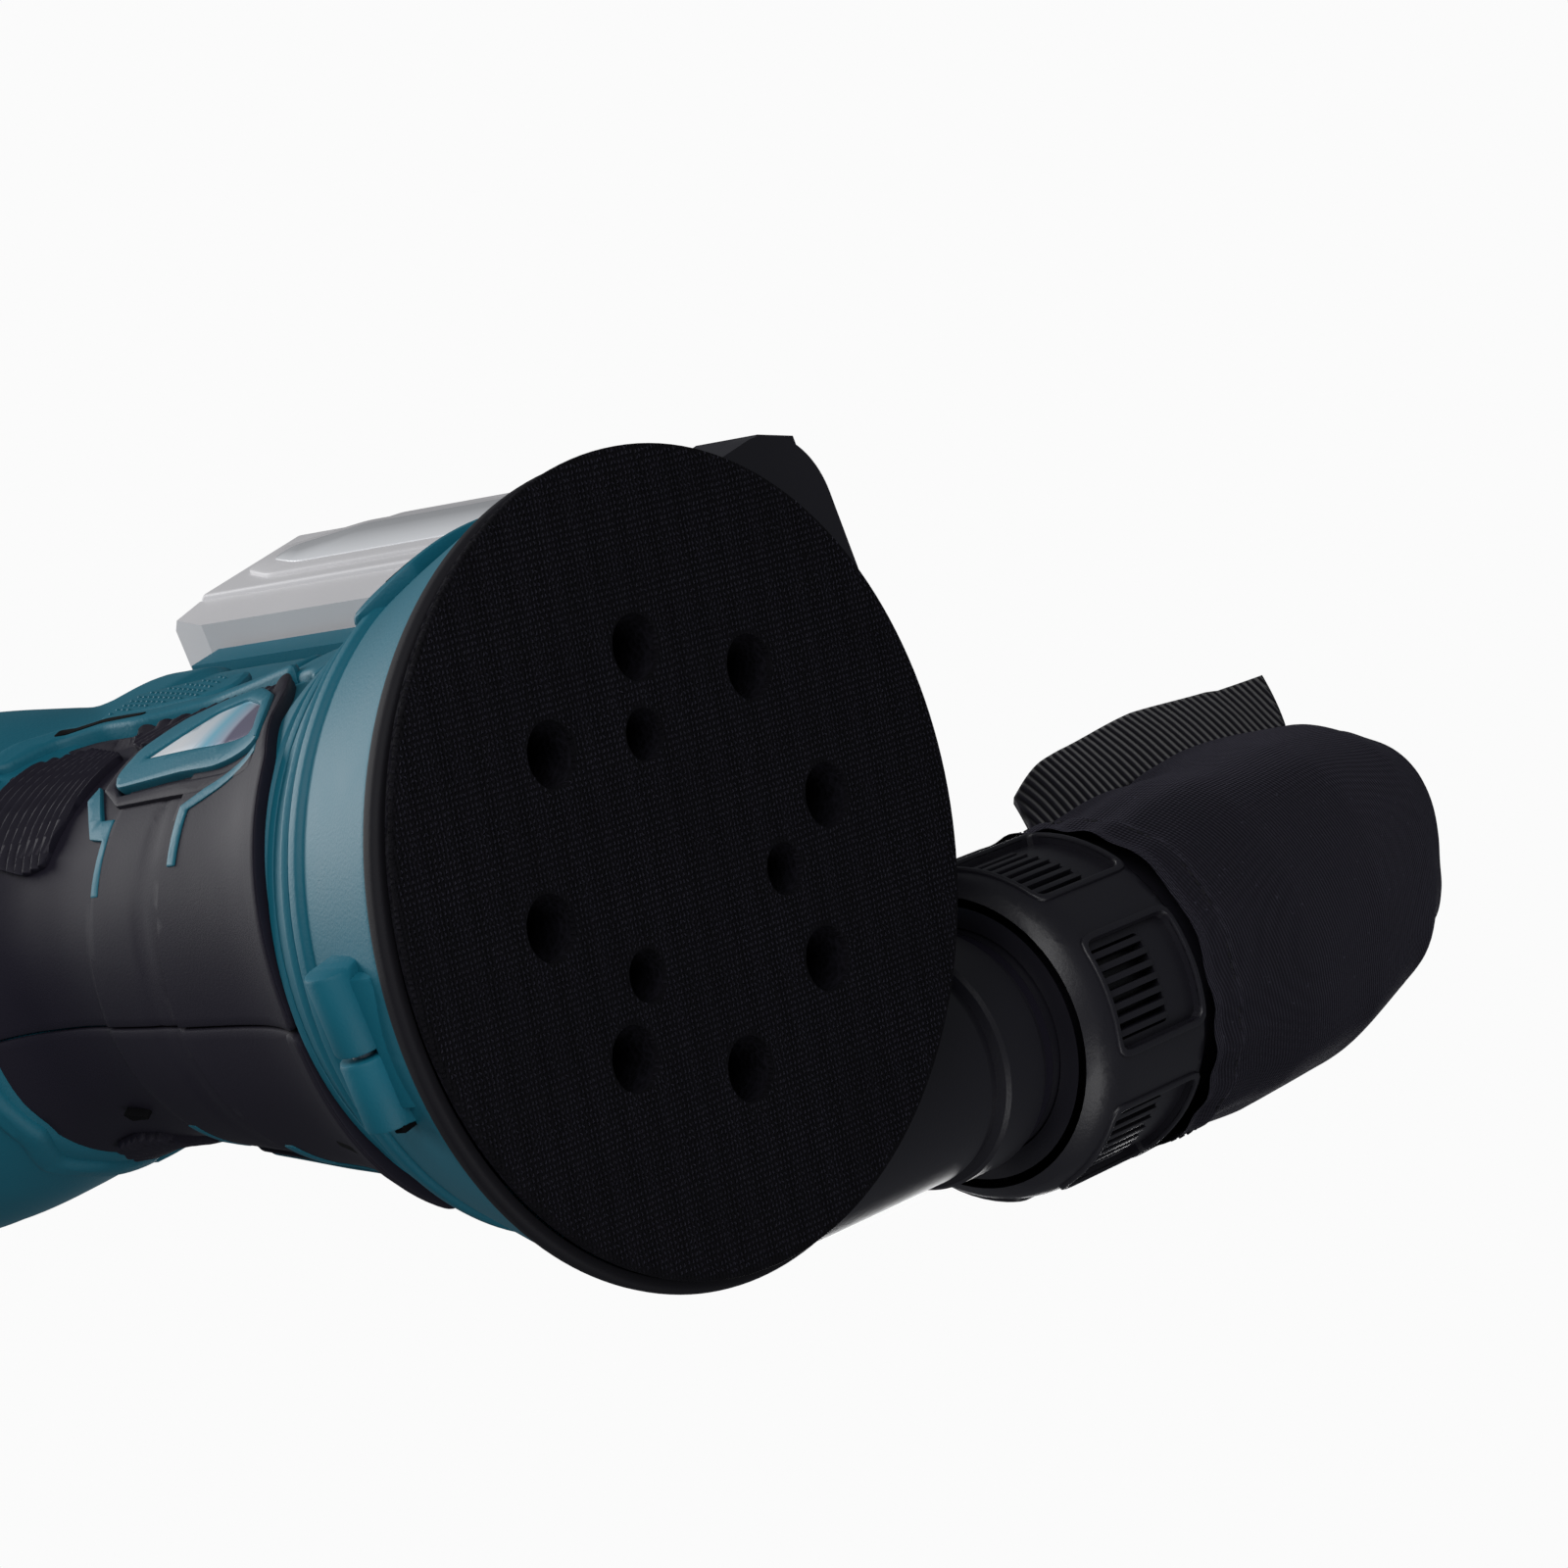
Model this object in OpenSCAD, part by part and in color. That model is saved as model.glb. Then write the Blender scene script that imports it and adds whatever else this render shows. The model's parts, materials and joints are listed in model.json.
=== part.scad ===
// Cordless random orbit sander, standing upright on its pad.
// Origin: centre of the motor axis, in the plane of the sanding face.
// +Z runs up the motor axis to the palm grip, -Y is the front, +Y the battery side.

/* [Pad] */
// Radius of the sanding face
pad_r = 61.5; // [58:0.5:64]
// Thickness of the hook layer
hook_t = 1.4; // [1:0.1:2]
// Thickness of the foam
foam_t = 8.6; // [6:0.2:9.4]
// Thickness of the moulded backing plate
plate_t = 3.5; // [3:0.1:4]
// Radius of the circle on which the dust holes lie
dust_pcr = 32.5; // [30:0.5:36]
// Bore radius of a dust hole
dust_hole_r = 5; // [4:0.1:6]
// Number of dust holes
dust_holes = 8; // [6:1:10]
// Radius of the circle of the three pad screws
screw_pcr = 20.3; // [19.5:0.1:20.8]
// Bore radius of a pad screw's access hole
access_r = 4; // [3.6:0.1:4.4]
// Distance from the motor axis to the pad's axis
orbit = 1.4; // [0.8:0.1:1.6]

/* [Drive] */
// Shaft radius
shaft_r = 4; // [3:0.5:4.5]
// Outer radius of the motor bearings
motor_bearing_r = 11; // [10:0.5:12]
// Outer radius of the bearing that carries the pad
pad_bearing_r = 16; // [15:0.5:17]
// Bore radius of the bearing that carries the pad
pad_bearing_bore = 6; // [5:0.5:7]
// Radius of the dust fan
dust_fan_r = 44.6; // [42:0.2:45]
// Stator radius
stator_r = 27; // [24:0.5:28]
// Stator height
stator_h = 26; // [20:1:30]
// Air gap between rotor and stator
air_gap = 0.6; // [0.4:0.1:1]
// Radial clearance of a running shaft
run_clear = 0.03; // [0.02:0.01:0.08]

/* [Shroud] */
// Radius of the clamp band at its lower edge
band_r = 60.7; // [60.4:0.1:61.4]
// Radius of the clamp band at its upper edge
band_top_r = 50.8; // [50.6:0.1:52]
// Height of the clamp band's lower edge above the sanding face
band_z = 7.1; // [6.8:0.1:7.4]
// Height of the clamp band
band_h = 24.6; // [24:0.1:26]
// Thickness of the clamp band
band_t = 2.2; // [1.8:0.1:2.4]
// Inner radius of the fan shroud
shroud_in_r = 47.2; // [46.6:0.1:47.4]
// Radius of the rubber lip
lip_r = 62; // [61.8:0.1:63]

/* [Housing] */
// Wall of the two housing shells
shell_wall = 3; // [2.4:0.1:3.4]
// Thickness of the soft overmould
skin_t = 1.4; // [1:0.1:1.8]
// Height of the top of the grip
grip_top = 172; // [168:1:180]

/* [Dust outlet] */
// Outer radius of the dust duct
duct_r = 19.5; // [18:0.5:20]
// Wall of the dust duct
duct_wall = 2.2; // [1.8:0.1:2.6]
// Radius of the nozzle ring that holds the bag
ring_r = 28.6; // [27:0.2:29]
// Length of the nozzle ring
ring_len = 31; // [27:1:33]
// Visible length of the dust bag behind the ring
bag_len = 93; // [88:1:100]

/* [Battery] */
// Width of the battery
batt_w = 75; // [75:0.5:80]
// Height of the battery's lower end above the sanding face
batt_z = 34; // [34:0.5:36]
// Length of the battery
batt_len = 109; // [106:1:112]
// Distance from the motor axis to the battery's rail face
batt_y = 46; // [46:0.5:48]
// Depth of the battery behind its rail face
batt_d = 43; // [43:0.5:46]
// Wall of the battery case
batt_wall = 2; // [1.6:0.1:2.2]
// Cell radius
cell_r = 9.1; // [8.8:0.1:9.2]
// Cell length
cell_len = 65; // [60:1:65]

/* [Controls] */
// Radius of the power and speed buttons
button_r = 6; // [5:0.5:7]
// How far a button travels
button_travel = 1.2; // [0.8:0.1:1.6]

/* [Hidden] */

$fn = 96;
gap = 0.3;              // space left between bodies that move apart
eps = 0.5;              // how far a cutter runs past the face that it cuts

// --- Levels, worked up from the sanding face ---
foam_z = hook_t;
plate_z = foam_z + foam_t;
plate_top = plate_z + plate_t;
band_top = band_z + band_h;
groove_h = 0.7;         // groove between the band and the shoulder above it
shoulder_z = band_top + groove_h;
shoulder_top = 42.2;
shoulder_top_r = 45.8;
shroud_z = plate_top + 2.7;
function cone_r(z) = band_r + (band_top_r - band_r) * (z - band_z) / band_h;
hub_flange_t = 4;
fan_z = plate_top + hub_flange_t + 1;
fan_pocket_h = 10;
bracket_z = shoulder_z + 2;
bracket_t = 3;
lower_bearing_z = bracket_z + bracket_t;
bearing_h = 7;
motor_z = lower_bearing_z + bearing_h + 12;
motor_top = motor_z + stator_h;
cool_z = motor_z - 9;
upper_bracket_z = motor_top + 9;
shaft_top = upper_bracket_z + bracket_t + bearing_h;
batt_top = batt_z + batt_len;
batt_back = batt_y + batt_d;
rail_d = 7;             // how far the battery's rail block stands towards the tool
screw_angles = [0, 120, 240];
hole_turn = 8.6;        // angle of the first dust hole

// --- Housing outline: height, half-width, centre, front depth, rear depth, squareness at the rear ---
BODY = [
  [shoulder_top, 45.6, 0, 45, 45.6, 2.2],
  [48, 43, 0, 42.5, 43.4, 2.6],
  [53, 40, 0, 41.2, 42, 3],
  [60, 37.4, 0, 40.4, 41, 3.4],
  [72, 35.4, 0, 39.6, 39.6, 3.6],
  [86, 33, 0, 38.4, 38.8, 3.6],
  [99, 31.2, 0, 37.2, 38.4, 3.6],
  [112, 31, -2, 36.8, 38.8, 3.2],
  [124, 33, -5, 38.2, 40, 2.8],
  [136, 36.4, -8, 40.4, 41.5, 2.5],
  [148, 39, -11, 41.4, 41, 2.4],
  [grip_top - 13, 39.5, -13, 38.8, 37.6, 2.3],
  [grip_top - 5, 32, -13, 32, 31, 2.2],
  [grip_top - 1.4, 20, -13, 20, 20, 2.2]
];
top_row = BODY[len(BODY) - 1];
front_squareness = 2.25;
outline_points = 48;

function signed_pow(v, e) = sign(v) * pow(abs(v), e);
function outline(a, cy, front, rear, n) = [
  for (i = [0:outline_points - 1])
    let (t = i * 360 / outline_points, c = cos(t), s = sin(t), e = 2 / (s < 0 ? front_squareness : n))
      [a * signed_pow(c, e), cy + (s < 0 ? front : rear) * signed_pow(s, e)]
];

// One thin slice of the housing, grown by g
module slice(row, g) {
  translate([0, 0, row[0]]) linear_extrude(0.02)
    polygon(outline(row[1] + g, row[2], row[3] + g, row[4] + g, row[5]));
}

// The housing's form between two rows of BODY, grown by g
module body_form(g, first = 0, last = len(BODY) - 1) {
  for (i = [first:last - 1]) hull() {
    slice(BODY[i], g);
    slice(BODY[i + 1], g);
  }
}

module half_space(side, first_z = 0, last_z = 200) {
  mirror([side < 0 ? 1 : 0, 0, 0]) translate([0, -100, first_z]) cube([120, 200, last_z - first_z]);
}

// Directions on the round body, in degrees from +X towards +Y
module at_angle(a, r, z) { rotate([0, 0, a]) translate([r, 0, z]) children(); }

// ================= Housing =================
battery_seat_y = 37;    // flat at the back of the housing, where the rails are

module housing_half(side) {
  color("teal") intersection() {
    difference() {
      union() {
        body_form(0);
        // Shoulder that carries the battery rails
        translate([0, battery_seat_y, 0]) rotate([90, 0, 0])
          linear_extrude(battery_seat_y - 20) shoulder_outline();
      }
      body_form(-shell_wall, 0, len(BODY) - 2);
      translate([0, 0, shoulder_top - eps]) cylinder(r = shoulder_top_r - shell_wall, h = 1);
      translate([-batt_w, battery_seat_y, rail_z0 - 5]) cube([2 * batt_w, 60, rail_z1 - rail_z0 + 8]);
      button_well(0);
      duct_clearance();
    }
    half_space(side);
  }
}
// Width of the shoulder behind the rails, which flares out to a tail at its foot
battery_shoulder_w = 64;
tail_w = 72;
module shoulder_outline() {
  for (s = [-1, 1]) scale([s, 1]) polygon([
    [0, rail_z0 - 4], [tail_w / 2, rail_z0 - 4], [tail_w / 2, rail_z0 + 4],
    [battery_shoulder_w / 2, rail_z0 + 14], [battery_shoulder_w / 2, rail_z1 + 2], [0, rail_z1 + 2]
  ]);
}
rail_z0 = 50;
rail_z1 = 128;
module housing_left() { housing_half(-1); }
module housing_right() { housing_half(1); }

// The soft skin stops at a line that runs up each flank, and leaves the teal back free
skin_back_y = -2;       // where the skin ends on the flanks at mid height
skin_top = 119;         // where the skin ends on the neck, below the head
palm_row = 11;          // row of BODY at which the soft cap begins
module skin_half(side) {
  color("#2b2933") intersection() {
    difference() {
      body_form(skin_t, 0, palm_row - 2);
      body_form(0);
      duct_clearance();
      badge_prism(side, 0.02);
    }
    half_space(side);
    translate([-100, -100, shoulder_top]) cube([200, 100 + skin_back_y, skin_top - shoulder_top]);
  }
}
module overmould_left() { skin_half(-1); }
module overmould_right() { skin_half(1); }

// Soft cap over the top of the head
module palm_grip() {
  color("#2b2933") difference() {
    union() {
      body_form(skin_t, palm_row, len(BODY) - 1);
      translate([0, 0, grip_top - 1.4]) linear_extrude(1.4)
        polygon(outline(top_row[1], top_row[2], top_row[3], top_row[4], top_row[5]));
    }
    body_form(0, palm_row - 1, len(BODY) - 1);
    button_well(0);
  }
}

// ================= Controls =================
panel_y = -48.5;        // front of the head, where the two buttons sit
panel_z = 138;
panel_tilt = 12;
button_x = 10;
module on_panel() { translate([0, panel_y, panel_z]) rotate([90 + panel_tilt, 0, 0]) children(); }

module button_well(g) {
  on_panel() translate([0, 0, -8]) linear_extrude(20) offset_slot(g);
}
module offset_slot(g) {
  for (s = [-1, 1]) translate([s * button_x, 0]) circle(r = button_r + 4 + g);
  translate([-button_x, -button_r - 4 - g]) square([2 * button_x, 2 * (button_r + 4 + g)]);
}
module button_panel() {
  color("#1d1c22") on_panel() difference() {
    translate([0, 0, -8]) linear_extrude(7.2) offset_slot(-0.02);
    for (s = [-1, 1]) translate([s * button_x, 0, -6.6]) cylinder(r = button_r + gap, h = 10);
  }
}
module push_button(x) {
  on_panel() translate([x, 0, -6.6 + button_travel + gap]) cylinder(r = button_r, h = 6.6);
}
module power_button() { color("#c8382f") push_button(-button_x); }
module speed_button() { color("#44434c") push_button(button_x); }

// ================= Shroud and skirt =================
lip_z = 3.4;
module cone_between(z0, z1, g) {
  translate([0, 0, z0]) cylinder(r1 = cone_r(z0) + g, r2 = cone_r(z1) + g, h = z1 - z0);
}
module fan_shroud() {
  color("teal") difference() {
    union() {
      cone_between(shroud_z, band_top, -band_t);
      translate([0, 0, band_top]) cylinder(r = band_top_r - band_t, h = groove_h);
      translate([0, 0, shoulder_z])
        cylinder(r1 = band_top_r - 0.2, r2 = shoulder_top_r, h = shoulder_top - shoulder_z);
    }
    translate([0, 0, shroud_z - eps]) cylinder(r = shroud_in_r, h = bracket_z - 1.5 - shroud_z + eps);
    translate([0, 0, bracket_z - 3]) cylinder(r = bracket_r, h = 20);
    duct_bore(1);
  }
}

boss_w = 23;            // length of the clamp's screw boss along the band
boss_r = 4.8;           // its half height
boss_z = band_z + 10.4; // centre of the boss
boss_y = -cone_r(boss_z) - 1.2;
boss_x = 1.5;
clamp_slot = 0.6;       // split in the band and the boss
clamp_screw_r = 2;
clamp_head_r = 3;
module clamp_band() {
  color("teal") difference() {
    union() {
      cone_between(band_z, band_top, 0);
      translate([boss_x - boss_w / 2, boss_y, boss_z]) rotate([0, 90, 0])
        cylinder(r = boss_r, h = boss_w);
    }
    cone_between(band_z - eps, band_top + eps, -band_t);
    translate([boss_x - clamp_slot / 2, -band_r - 12, band_z - eps]) cube([clamp_slot, 24, band_h + 2]);
    translate([-boss_w, boss_y, boss_z]) rotate([0, 90, 0]) cylinder(r = clamp_screw_r, h = 2 * boss_w);
    translate([boss_x - boss_w / 2 - eps, boss_y, boss_z]) rotate([0, 90, 0])
      cylinder(r = clamp_head_r + 0.1, h = 2.6 + eps);
    duct_bore(1);
  }
}
module clamp_screw() {
  color("#3a3a3e") translate([boss_x - boss_w / 2 + 0.2, boss_y, boss_z])
    rotate([0, 90, 0]) difference() {
    union() {
      cylinder(r = clamp_head_r, h = 2.4);
      cylinder(r = clamp_screw_r, h = boss_w - 3);
    }
    translate([0, 0, -eps]) cylinder(r = 1.5, h = 1.8 + eps, $fn = 6);
  }
}
module rubber_skirt() {
  color("#26242c") rotate_extrude() polygon([
    [lip_r - 2, lip_z], [lip_r - 0.4, lip_z], [lip_r, lip_z + 1], [lip_r - 0.4, band_z - 0.8],
    [band_r, band_z], [band_r - band_t, band_z], [lip_r - 2, lip_z + 1.4]
  ]);
}
brake_r = 49.6;
module brake_ring() {
  color("#1c1b20") translate([0, 0, plate_top + gap]) difference() {
    cylinder(r = brake_r + 2.4, h = shroud_z - plate_top - gap);
    translate([0, 0, -eps]) cylinder(r = shroud_in_r + 0.4, h = 4);
  }
}

// ================= Dust outlet =================
// The outlet leaves the left side of the shroud and runs back past the battery
duct_dir = 12.8;        // how far the outlet turns outwards from straight back
duct_z = 32;
duct_x = -49.9;
duct_y0 = -6;
duct_nose = 13;         // from the duct's front to the centre of its round end
ring_at = 79;           // distance along the duct at which the nozzle ring begins
duct_end = ring_at + 10;
module along_duct() {
  translate([duct_x, 0, duct_z]) rotate([-90, 0, duct_dir]) children();
}
module duct_bore(g) {
  along_duct() translate([0, 0, duct_y0 + 6]) cylinder(r = duct_r - duct_wall - 2 - g, h = 60);
}
// The duct's outside, grown by g, with a round front end
module duct_solid(g, length) {
  along_duct() translate([0, 0, duct_y0 + duct_nose]) {
    sphere(r = duct_r + g);
    cylinder(r = duct_r + g, h = length - duct_nose);
  }
}
module duct_clearance() { duct_solid(0.2, 80); }
module dust_duct() {
  color("#232229") difference() {
    union() {
      duct_solid(0, duct_end - duct_y0);
      along_duct() translate([0, 0, ring_at - 12]) cylinder(r = duct_r + 1.4, h = 7);
    }
    along_duct() translate([0, 0, duct_y0 + 8]) cylinder(r = duct_r - duct_wall, h = duct_end + 10);
    along_duct() translate([0, 0, ring_at - 3.6]) difference() {
      cylinder(r = duct_r + 2, h = 2);
      cylinder(r = duct_r - 1.1, h = 2);
    }
    tool_base();
  }
}
// The round lower part of the tool, which the duct and the battery's foot stand against
module tool_base() {
  cone_between(0, band_top, 0.05);
  translate([0, 0, band_top]) cylinder(r = band_top_r, h = groove_h + 0.01);
  translate([0, 0, shoulder_z]) cylinder(r1 = band_top_r, r2 = shoulder_top_r + 0.2, h = shoulder_top - shoulder_z);
  translate([0, 0, shoulder_top]) cylinder(r1 = shoulder_top_r + skin_t, r2 = 42 + skin_t, h = 11);
}
module duct_seal() {
  color("#111014") along_duct() translate([0, 0, ring_at - 3.5]) difference() {
    cylinder(r = duct_r - 0.1, h = 1.8);
    translate([0, 0, -eps]) cylinder(r = duct_r - 1.1, h = 3);
  }
}

window_count = 6;
window_w = 15;
window_len = 17;
module nozzle_ring() {
  color("#2a2931") along_duct() translate([0, 0, ring_at]) difference() {
    rotate_extrude() polygon([
      [duct_r + gap, 0], [ring_r - 4.4, 0], [ring_r - 2.8, 0.8], [ring_r - 0.6, 4],
      [ring_r, 8], [ring_r, ring_len - 3], [ring_r - 1, ring_len - 1], [ring_r - 1, ring_len],
      [duct_r + gap, ring_len]
    ]);
    for (i = [0:window_count - 1]) rotate([0, 0, i * 360 / window_count + 20])
      translate([ring_r - 1.6, -window_w / 2, 7]) cube([4, window_w, window_len]);
  }
}
module bag_collar() {
  color("#3b3a40") along_duct() translate([0, 0, ring_at + ring_len]) difference() {
    cylinder(r = ring_r - 3, h = 8);
    translate([0, 0, -eps]) cylinder(r = ring_r - 5, h = 10);
  }
}

// Bag rows: distance behind the ring, half-width, half-height, sag, lean towards its inner side
BAG = [
  [0.1, 28, 28, 0, 0], [9, 29.4, 28.8, 0.6, 0], [30, 31.6, 30, 1.6, 0.6], [56, 32, 29.6, 2.2, 2],
  [80, 29.6, 27, 2.4, 4], [92, 26, 23.4, 2.2, 4.6], [97, 21.5, 19, 2, 4.6]
];
module bag_slice(row, g) {
  translate([row[4], row[3], row[0] * bag_len / BAG[6][0]])
    linear_extrude(0.02) scale([1, (row[2] + g) / (row[1] + g)]) circle(r = row[1] + g, $fn = 48);
}
module dust_bag() {
  color("#17161b") along_duct() translate([0, 0, ring_at + ring_len]) difference() {
    for (i = [0:5]) hull() {
      bag_slice(BAG[i], 0);
      bag_slice(BAG[i + 1], 0);
    }
    hull() {
      translate([0, 0, -1]) bag_slice(BAG[0], -2);
      translate([0, 0, 10]) bag_slice(BAG[0], -2);
    }
  }
}
// Closing flap of ribbed cloth, which stands off the bag's inner side
flap_z = 20;
flap_len = 66;
flap_t = 3;
module bag_flap() {
  color("#1b1a1f") along_duct() translate([0, 0, ring_at + ring_len]) difference() {
    translate([0, 0, flap_z]) rotate([90, 0, 0]) translate([0, 0, -flap_t])
      linear_extrude(flap_t) polygon([
      [24, 0], [31, 1], [39.5, flap_len * 0.2], [41.5, flap_len * 0.5], [43, flap_len],
      [32, flap_len - 2], [24, flap_len - 6]
    ]);
    for (i = [1:4]) hull() {
      bag_slice(BAG[i], 0);
      bag_slice(BAG[i + 1], 0);
    }
  }
}

// ================= Motor =================
bracket_r = 46;
module lower_bracket() {
  color("#b9bbbe") difference() {
    union() {
      translate([0, 0, bracket_z]) cylinder(r = bracket_r, h = bracket_t);
      translate([0, 0, bracket_z]) cylinder(r = motor_bearing_r + 3, h = bracket_t + bearing_h);
    }
    translate([0, 0, lower_bearing_z]) cylinder(r = motor_bearing_r, h = bearing_h + eps);
    translate([0, 0, bracket_z - eps]) cylinder(r = motor_bearing_r - 2, h = bracket_t + 2 * eps);
    for (i = [0:3]) at_angle(45 + 90 * i, 33, bracket_z - eps) cylinder(r = 2, h = 8);
    for (i = [0:5]) at_angle(60 * i, 24, bracket_z - eps) cylinder(r = 4, h = 8);
  }
}
upper_bracket_r = 27.5;
module upper_bracket() {
  color("#b9bbbe") difference() {
    union() {
      translate([0, 0, upper_bracket_z]) cylinder(r = upper_bracket_r, h = bracket_t);
      translate([0, 0, upper_bracket_z]) cylinder(r = motor_bearing_r + 3, h = bracket_t + bearing_h);
      for (i = [0:2]) at_angle(120 * i + 30, stator_r - 2.4, motor_top)
        cylinder(r = 2, h = upper_bracket_z - motor_top);
    }
    translate([0, 0, upper_bracket_z + bracket_t]) cylinder(r = motor_bearing_r, h = bearing_h + eps);
    translate([0, 0, upper_bracket_z - eps]) cylinder(r = motor_bearing_r - 2, h = bracket_t + 2 * eps);
    for (i = [0:5]) at_angle(60 * i, 20, upper_bracket_z - eps) cylinder(r = 4, h = 8);
  }
}
module bracket_screws() {
  color("#8d8f94") for (i = [0:3]) at_angle(45 + 90 * i, 33, bracket_z - 1.4) {
    cylinder(r = 2, h = bracket_t + 1.4);
    translate([0, 0, bracket_t + 1.4]) cylinder(r = 3.4, h = 2.2);
  }
}
module ball_bearing(outer, bore, h) {
  difference() {
    cylinder(r = outer, h = h);
    translate([0, 0, -eps]) cylinder(r = bore, h = h + 2 * eps);
    for (z = [-eps, h - 0.5]) translate([0, 0, z]) difference() {
      cylinder(r = outer - 2, h = 0.5 + eps);
      translate([0, 0, -eps]) cylinder(r = bore + 1.8, h = 2);
    }
  }
}
module upper_bearing() {
  color("silver") translate([0, 0, upper_bracket_z + bracket_t])
    ball_bearing(motor_bearing_r, shaft_r + run_clear, bearing_h);
}
module lower_bearing() {
  color("silver") translate([0, 0, lower_bearing_z])
    ball_bearing(motor_bearing_r, shaft_r + run_clear, bearing_h);
}
teeth = 6;
yoke = 4;
rotor_r = 13;
module stator() {
  color("#6f7278") translate([0, 0, motor_z]) difference() {
    union() {
      difference() {
        cylinder(r = stator_r, h = stator_h);
        translate([0, 0, -eps]) cylinder(r = stator_r - yoke, h = stator_h + 2 * eps);
      }
      for (i = [0:teeth - 1]) rotate([0, 0, i * 360 / teeth])
        translate([rotor_r, -2, 0]) cube([stator_r - yoke - rotor_r + 1, 4, stator_h]);
    }
    translate([0, 0, -eps]) cylinder(r = rotor_r + air_gap, h = stator_h + 2 * eps);
  }
}
module windings() {
  color("#b8662f") translate([0, 0, motor_z]) for (i = [0:teeth - 1]) rotate([0, 0, i * 360 / teeth])
    translate([rotor_r + 2.4, 0, 0]) difference() {
      translate([0, -4.4, -3]) cube([stator_r - yoke - rotor_r - 4, 8.8, stator_h + 6]);
      translate([-eps, -2, 0]) cube([20, 4, stator_h]);
    }
}
module motor_shaft() {
  color("silver") translate([0, 0, fan_z + fan_pocket_h + 1.6])
    cylinder(r = shaft_r, h = shaft_top - fan_z - fan_pocket_h - 1.6);
}
magnet_t = 2.2;
module rotor_core() {
  color("#585b61") translate([0, 0, motor_z]) difference() {
    cylinder(r = rotor_r - magnet_t, h = stator_h);
    translate([0, 0, -eps]) cylinder(r = shaft_r, h = stator_h + 2 * eps);
  }
}
module rotor_magnets() {
  color("#3f4247") translate([0, 0, motor_z + 1]) difference() {
    cylinder(r = rotor_r, h = stator_h - 2);
    translate([0, 0, -eps]) cylinder(r = rotor_r - magnet_t, h = stator_h);
    for (i = [0:1]) rotate([0, 0, 90 * i]) translate([-20, -0.5, -eps]) cube([40, 1, stator_h]);
  }
}
blades = 11;
module cooling_fan() {
  color("#d8d5cc") translate([0, 0, cool_z]) difference() {
    union() {
      cylinder(r = 25, h = 1.2);
      cylinder(r = 7, h = 6);
      for (i = [0:blades - 1]) rotate([0, 0, i * 360 / blades])
        translate([9, -0.6, 0]) cube([15.6, 1.2, 5.6]);
    }
    translate([0, 0, -eps]) cylinder(r = shaft_r, h = 10);
  }
}

// ================= Eccentric drive =================
orbit_angle = 25;       // direction of the pad's offset at rest
module on_orbit() { translate([orbit * cos(orbit_angle), orbit * sin(orbit_angle), 0]) children(); }

fan_web_z = fan_z + fan_pocket_h;
module dust_fan() {
  color("#c9c7bf") difference() {
    union() {
      translate([0, 0, fan_z]) on_orbit() cylinder(r = pad_bearing_r + 2.6, h = fan_pocket_h);
      translate([0, 0, fan_web_z]) cylinder(r = dust_fan_r, h = 1.6);
      translate([0, 0, fan_web_z]) cylinder(r = shaft_r + 3.2, h = 4);
      for (i = [0:blades - 1]) rotate([0, 0, i * 360 / blades])
        translate([24, -0.8, fan_web_z - 5.4]) cube([dust_fan_r - 24.6, 1.6, 5.8]);
      // Counterweight opposite the pad's offset
      translate([0, 0, fan_z + 2]) rotate([0, 0, orbit_angle]) intersection() {
        difference() {
          cylinder(r = 30, h = fan_pocket_h - 1.8);
          translate([0, 0, -eps]) cylinder(r = 18, h = fan_pocket_h);
        }
        translate([-40, -18, -1]) cube([28, 36, 20]);
      }
    }
    translate([0, 0, fan_z - eps]) on_orbit() cylinder(r = pad_bearing_r, h = fan_pocket_h - 0.6 + eps);
    translate([0, 0, fan_web_z + 1.6]) cylinder(r = shaft_r, h = 5);
  }
}
pad_bearing_h = fan_pocket_h - 0.8;
module pad_bearing() {
  color("silver") on_orbit() translate([0, 0, fan_z + 0.2])
    ball_bearing(pad_bearing_r, pad_bearing_bore + run_clear, pad_bearing_h);
}
hub_r = screw_pcr + 4.7;
module pad_hub() {
  color("#a9acb1") on_orbit() difference() {
    union() {
      translate([0, 0, plate_top]) cylinder(r = hub_r, h = hub_flange_t - gap);
      translate([0, 0, plate_top]) cylinder(r = pad_bearing_bore + 2, h = hub_flange_t + 0.7);
      translate([0, 0, plate_top]) cylinder(r = pad_bearing_bore, h = hub_flange_t + pad_bearing_h);
    }
    for (a = screw_angles) at_angle(a, screw_pcr, plate_top - eps) cylinder(r = 2, h = 10);
  }
}
module pad_holes(z, h, screw_hole_r) {
  for (i = [0:dust_holes - 1]) at_angle(hole_turn + i * 360 / dust_holes, dust_pcr, z)
    cylinder(r = dust_hole_r, h = h);
  for (a = screw_angles) at_angle(a, screw_pcr, z) cylinder(r = screw_hole_r, h = h);
}
foam_top_r = pad_r - 6.5;
foam_edge = 0.5;        // upright edge of the foam above the hook layer
module pad_plate() {
  color("#201f26") on_orbit() difference() {
    union() {
      translate([0, 0, plate_z]) cylinder(r1 = foam_top_r - 0.5, r2 = foam_top_r - 2, h = plate_t - 1);
      translate([0, 0, plate_z]) cylinder(r = foam_top_r - 3, h = plate_t);
    }
    pad_holes(plate_z - eps, plate_t + 2 * eps, 2.1);
  }
}
module pad_foam() {
  color("#1a191f") on_orbit() difference() {
    union() {
      translate([0, 0, foam_z]) cylinder(r = pad_r, h = foam_edge);
      translate([0, 0, foam_z + foam_edge]) cylinder(r1 = pad_r, r2 = foam_top_r + 2, h = 1.2);
      translate([0, 0, foam_z + foam_edge + 1.2]) cylinder(r = foam_top_r, h = foam_t - foam_edge - 1.2);
    }
    pad_holes(foam_z - eps, foam_t + 2 * eps, access_r);
  }
}
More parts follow.
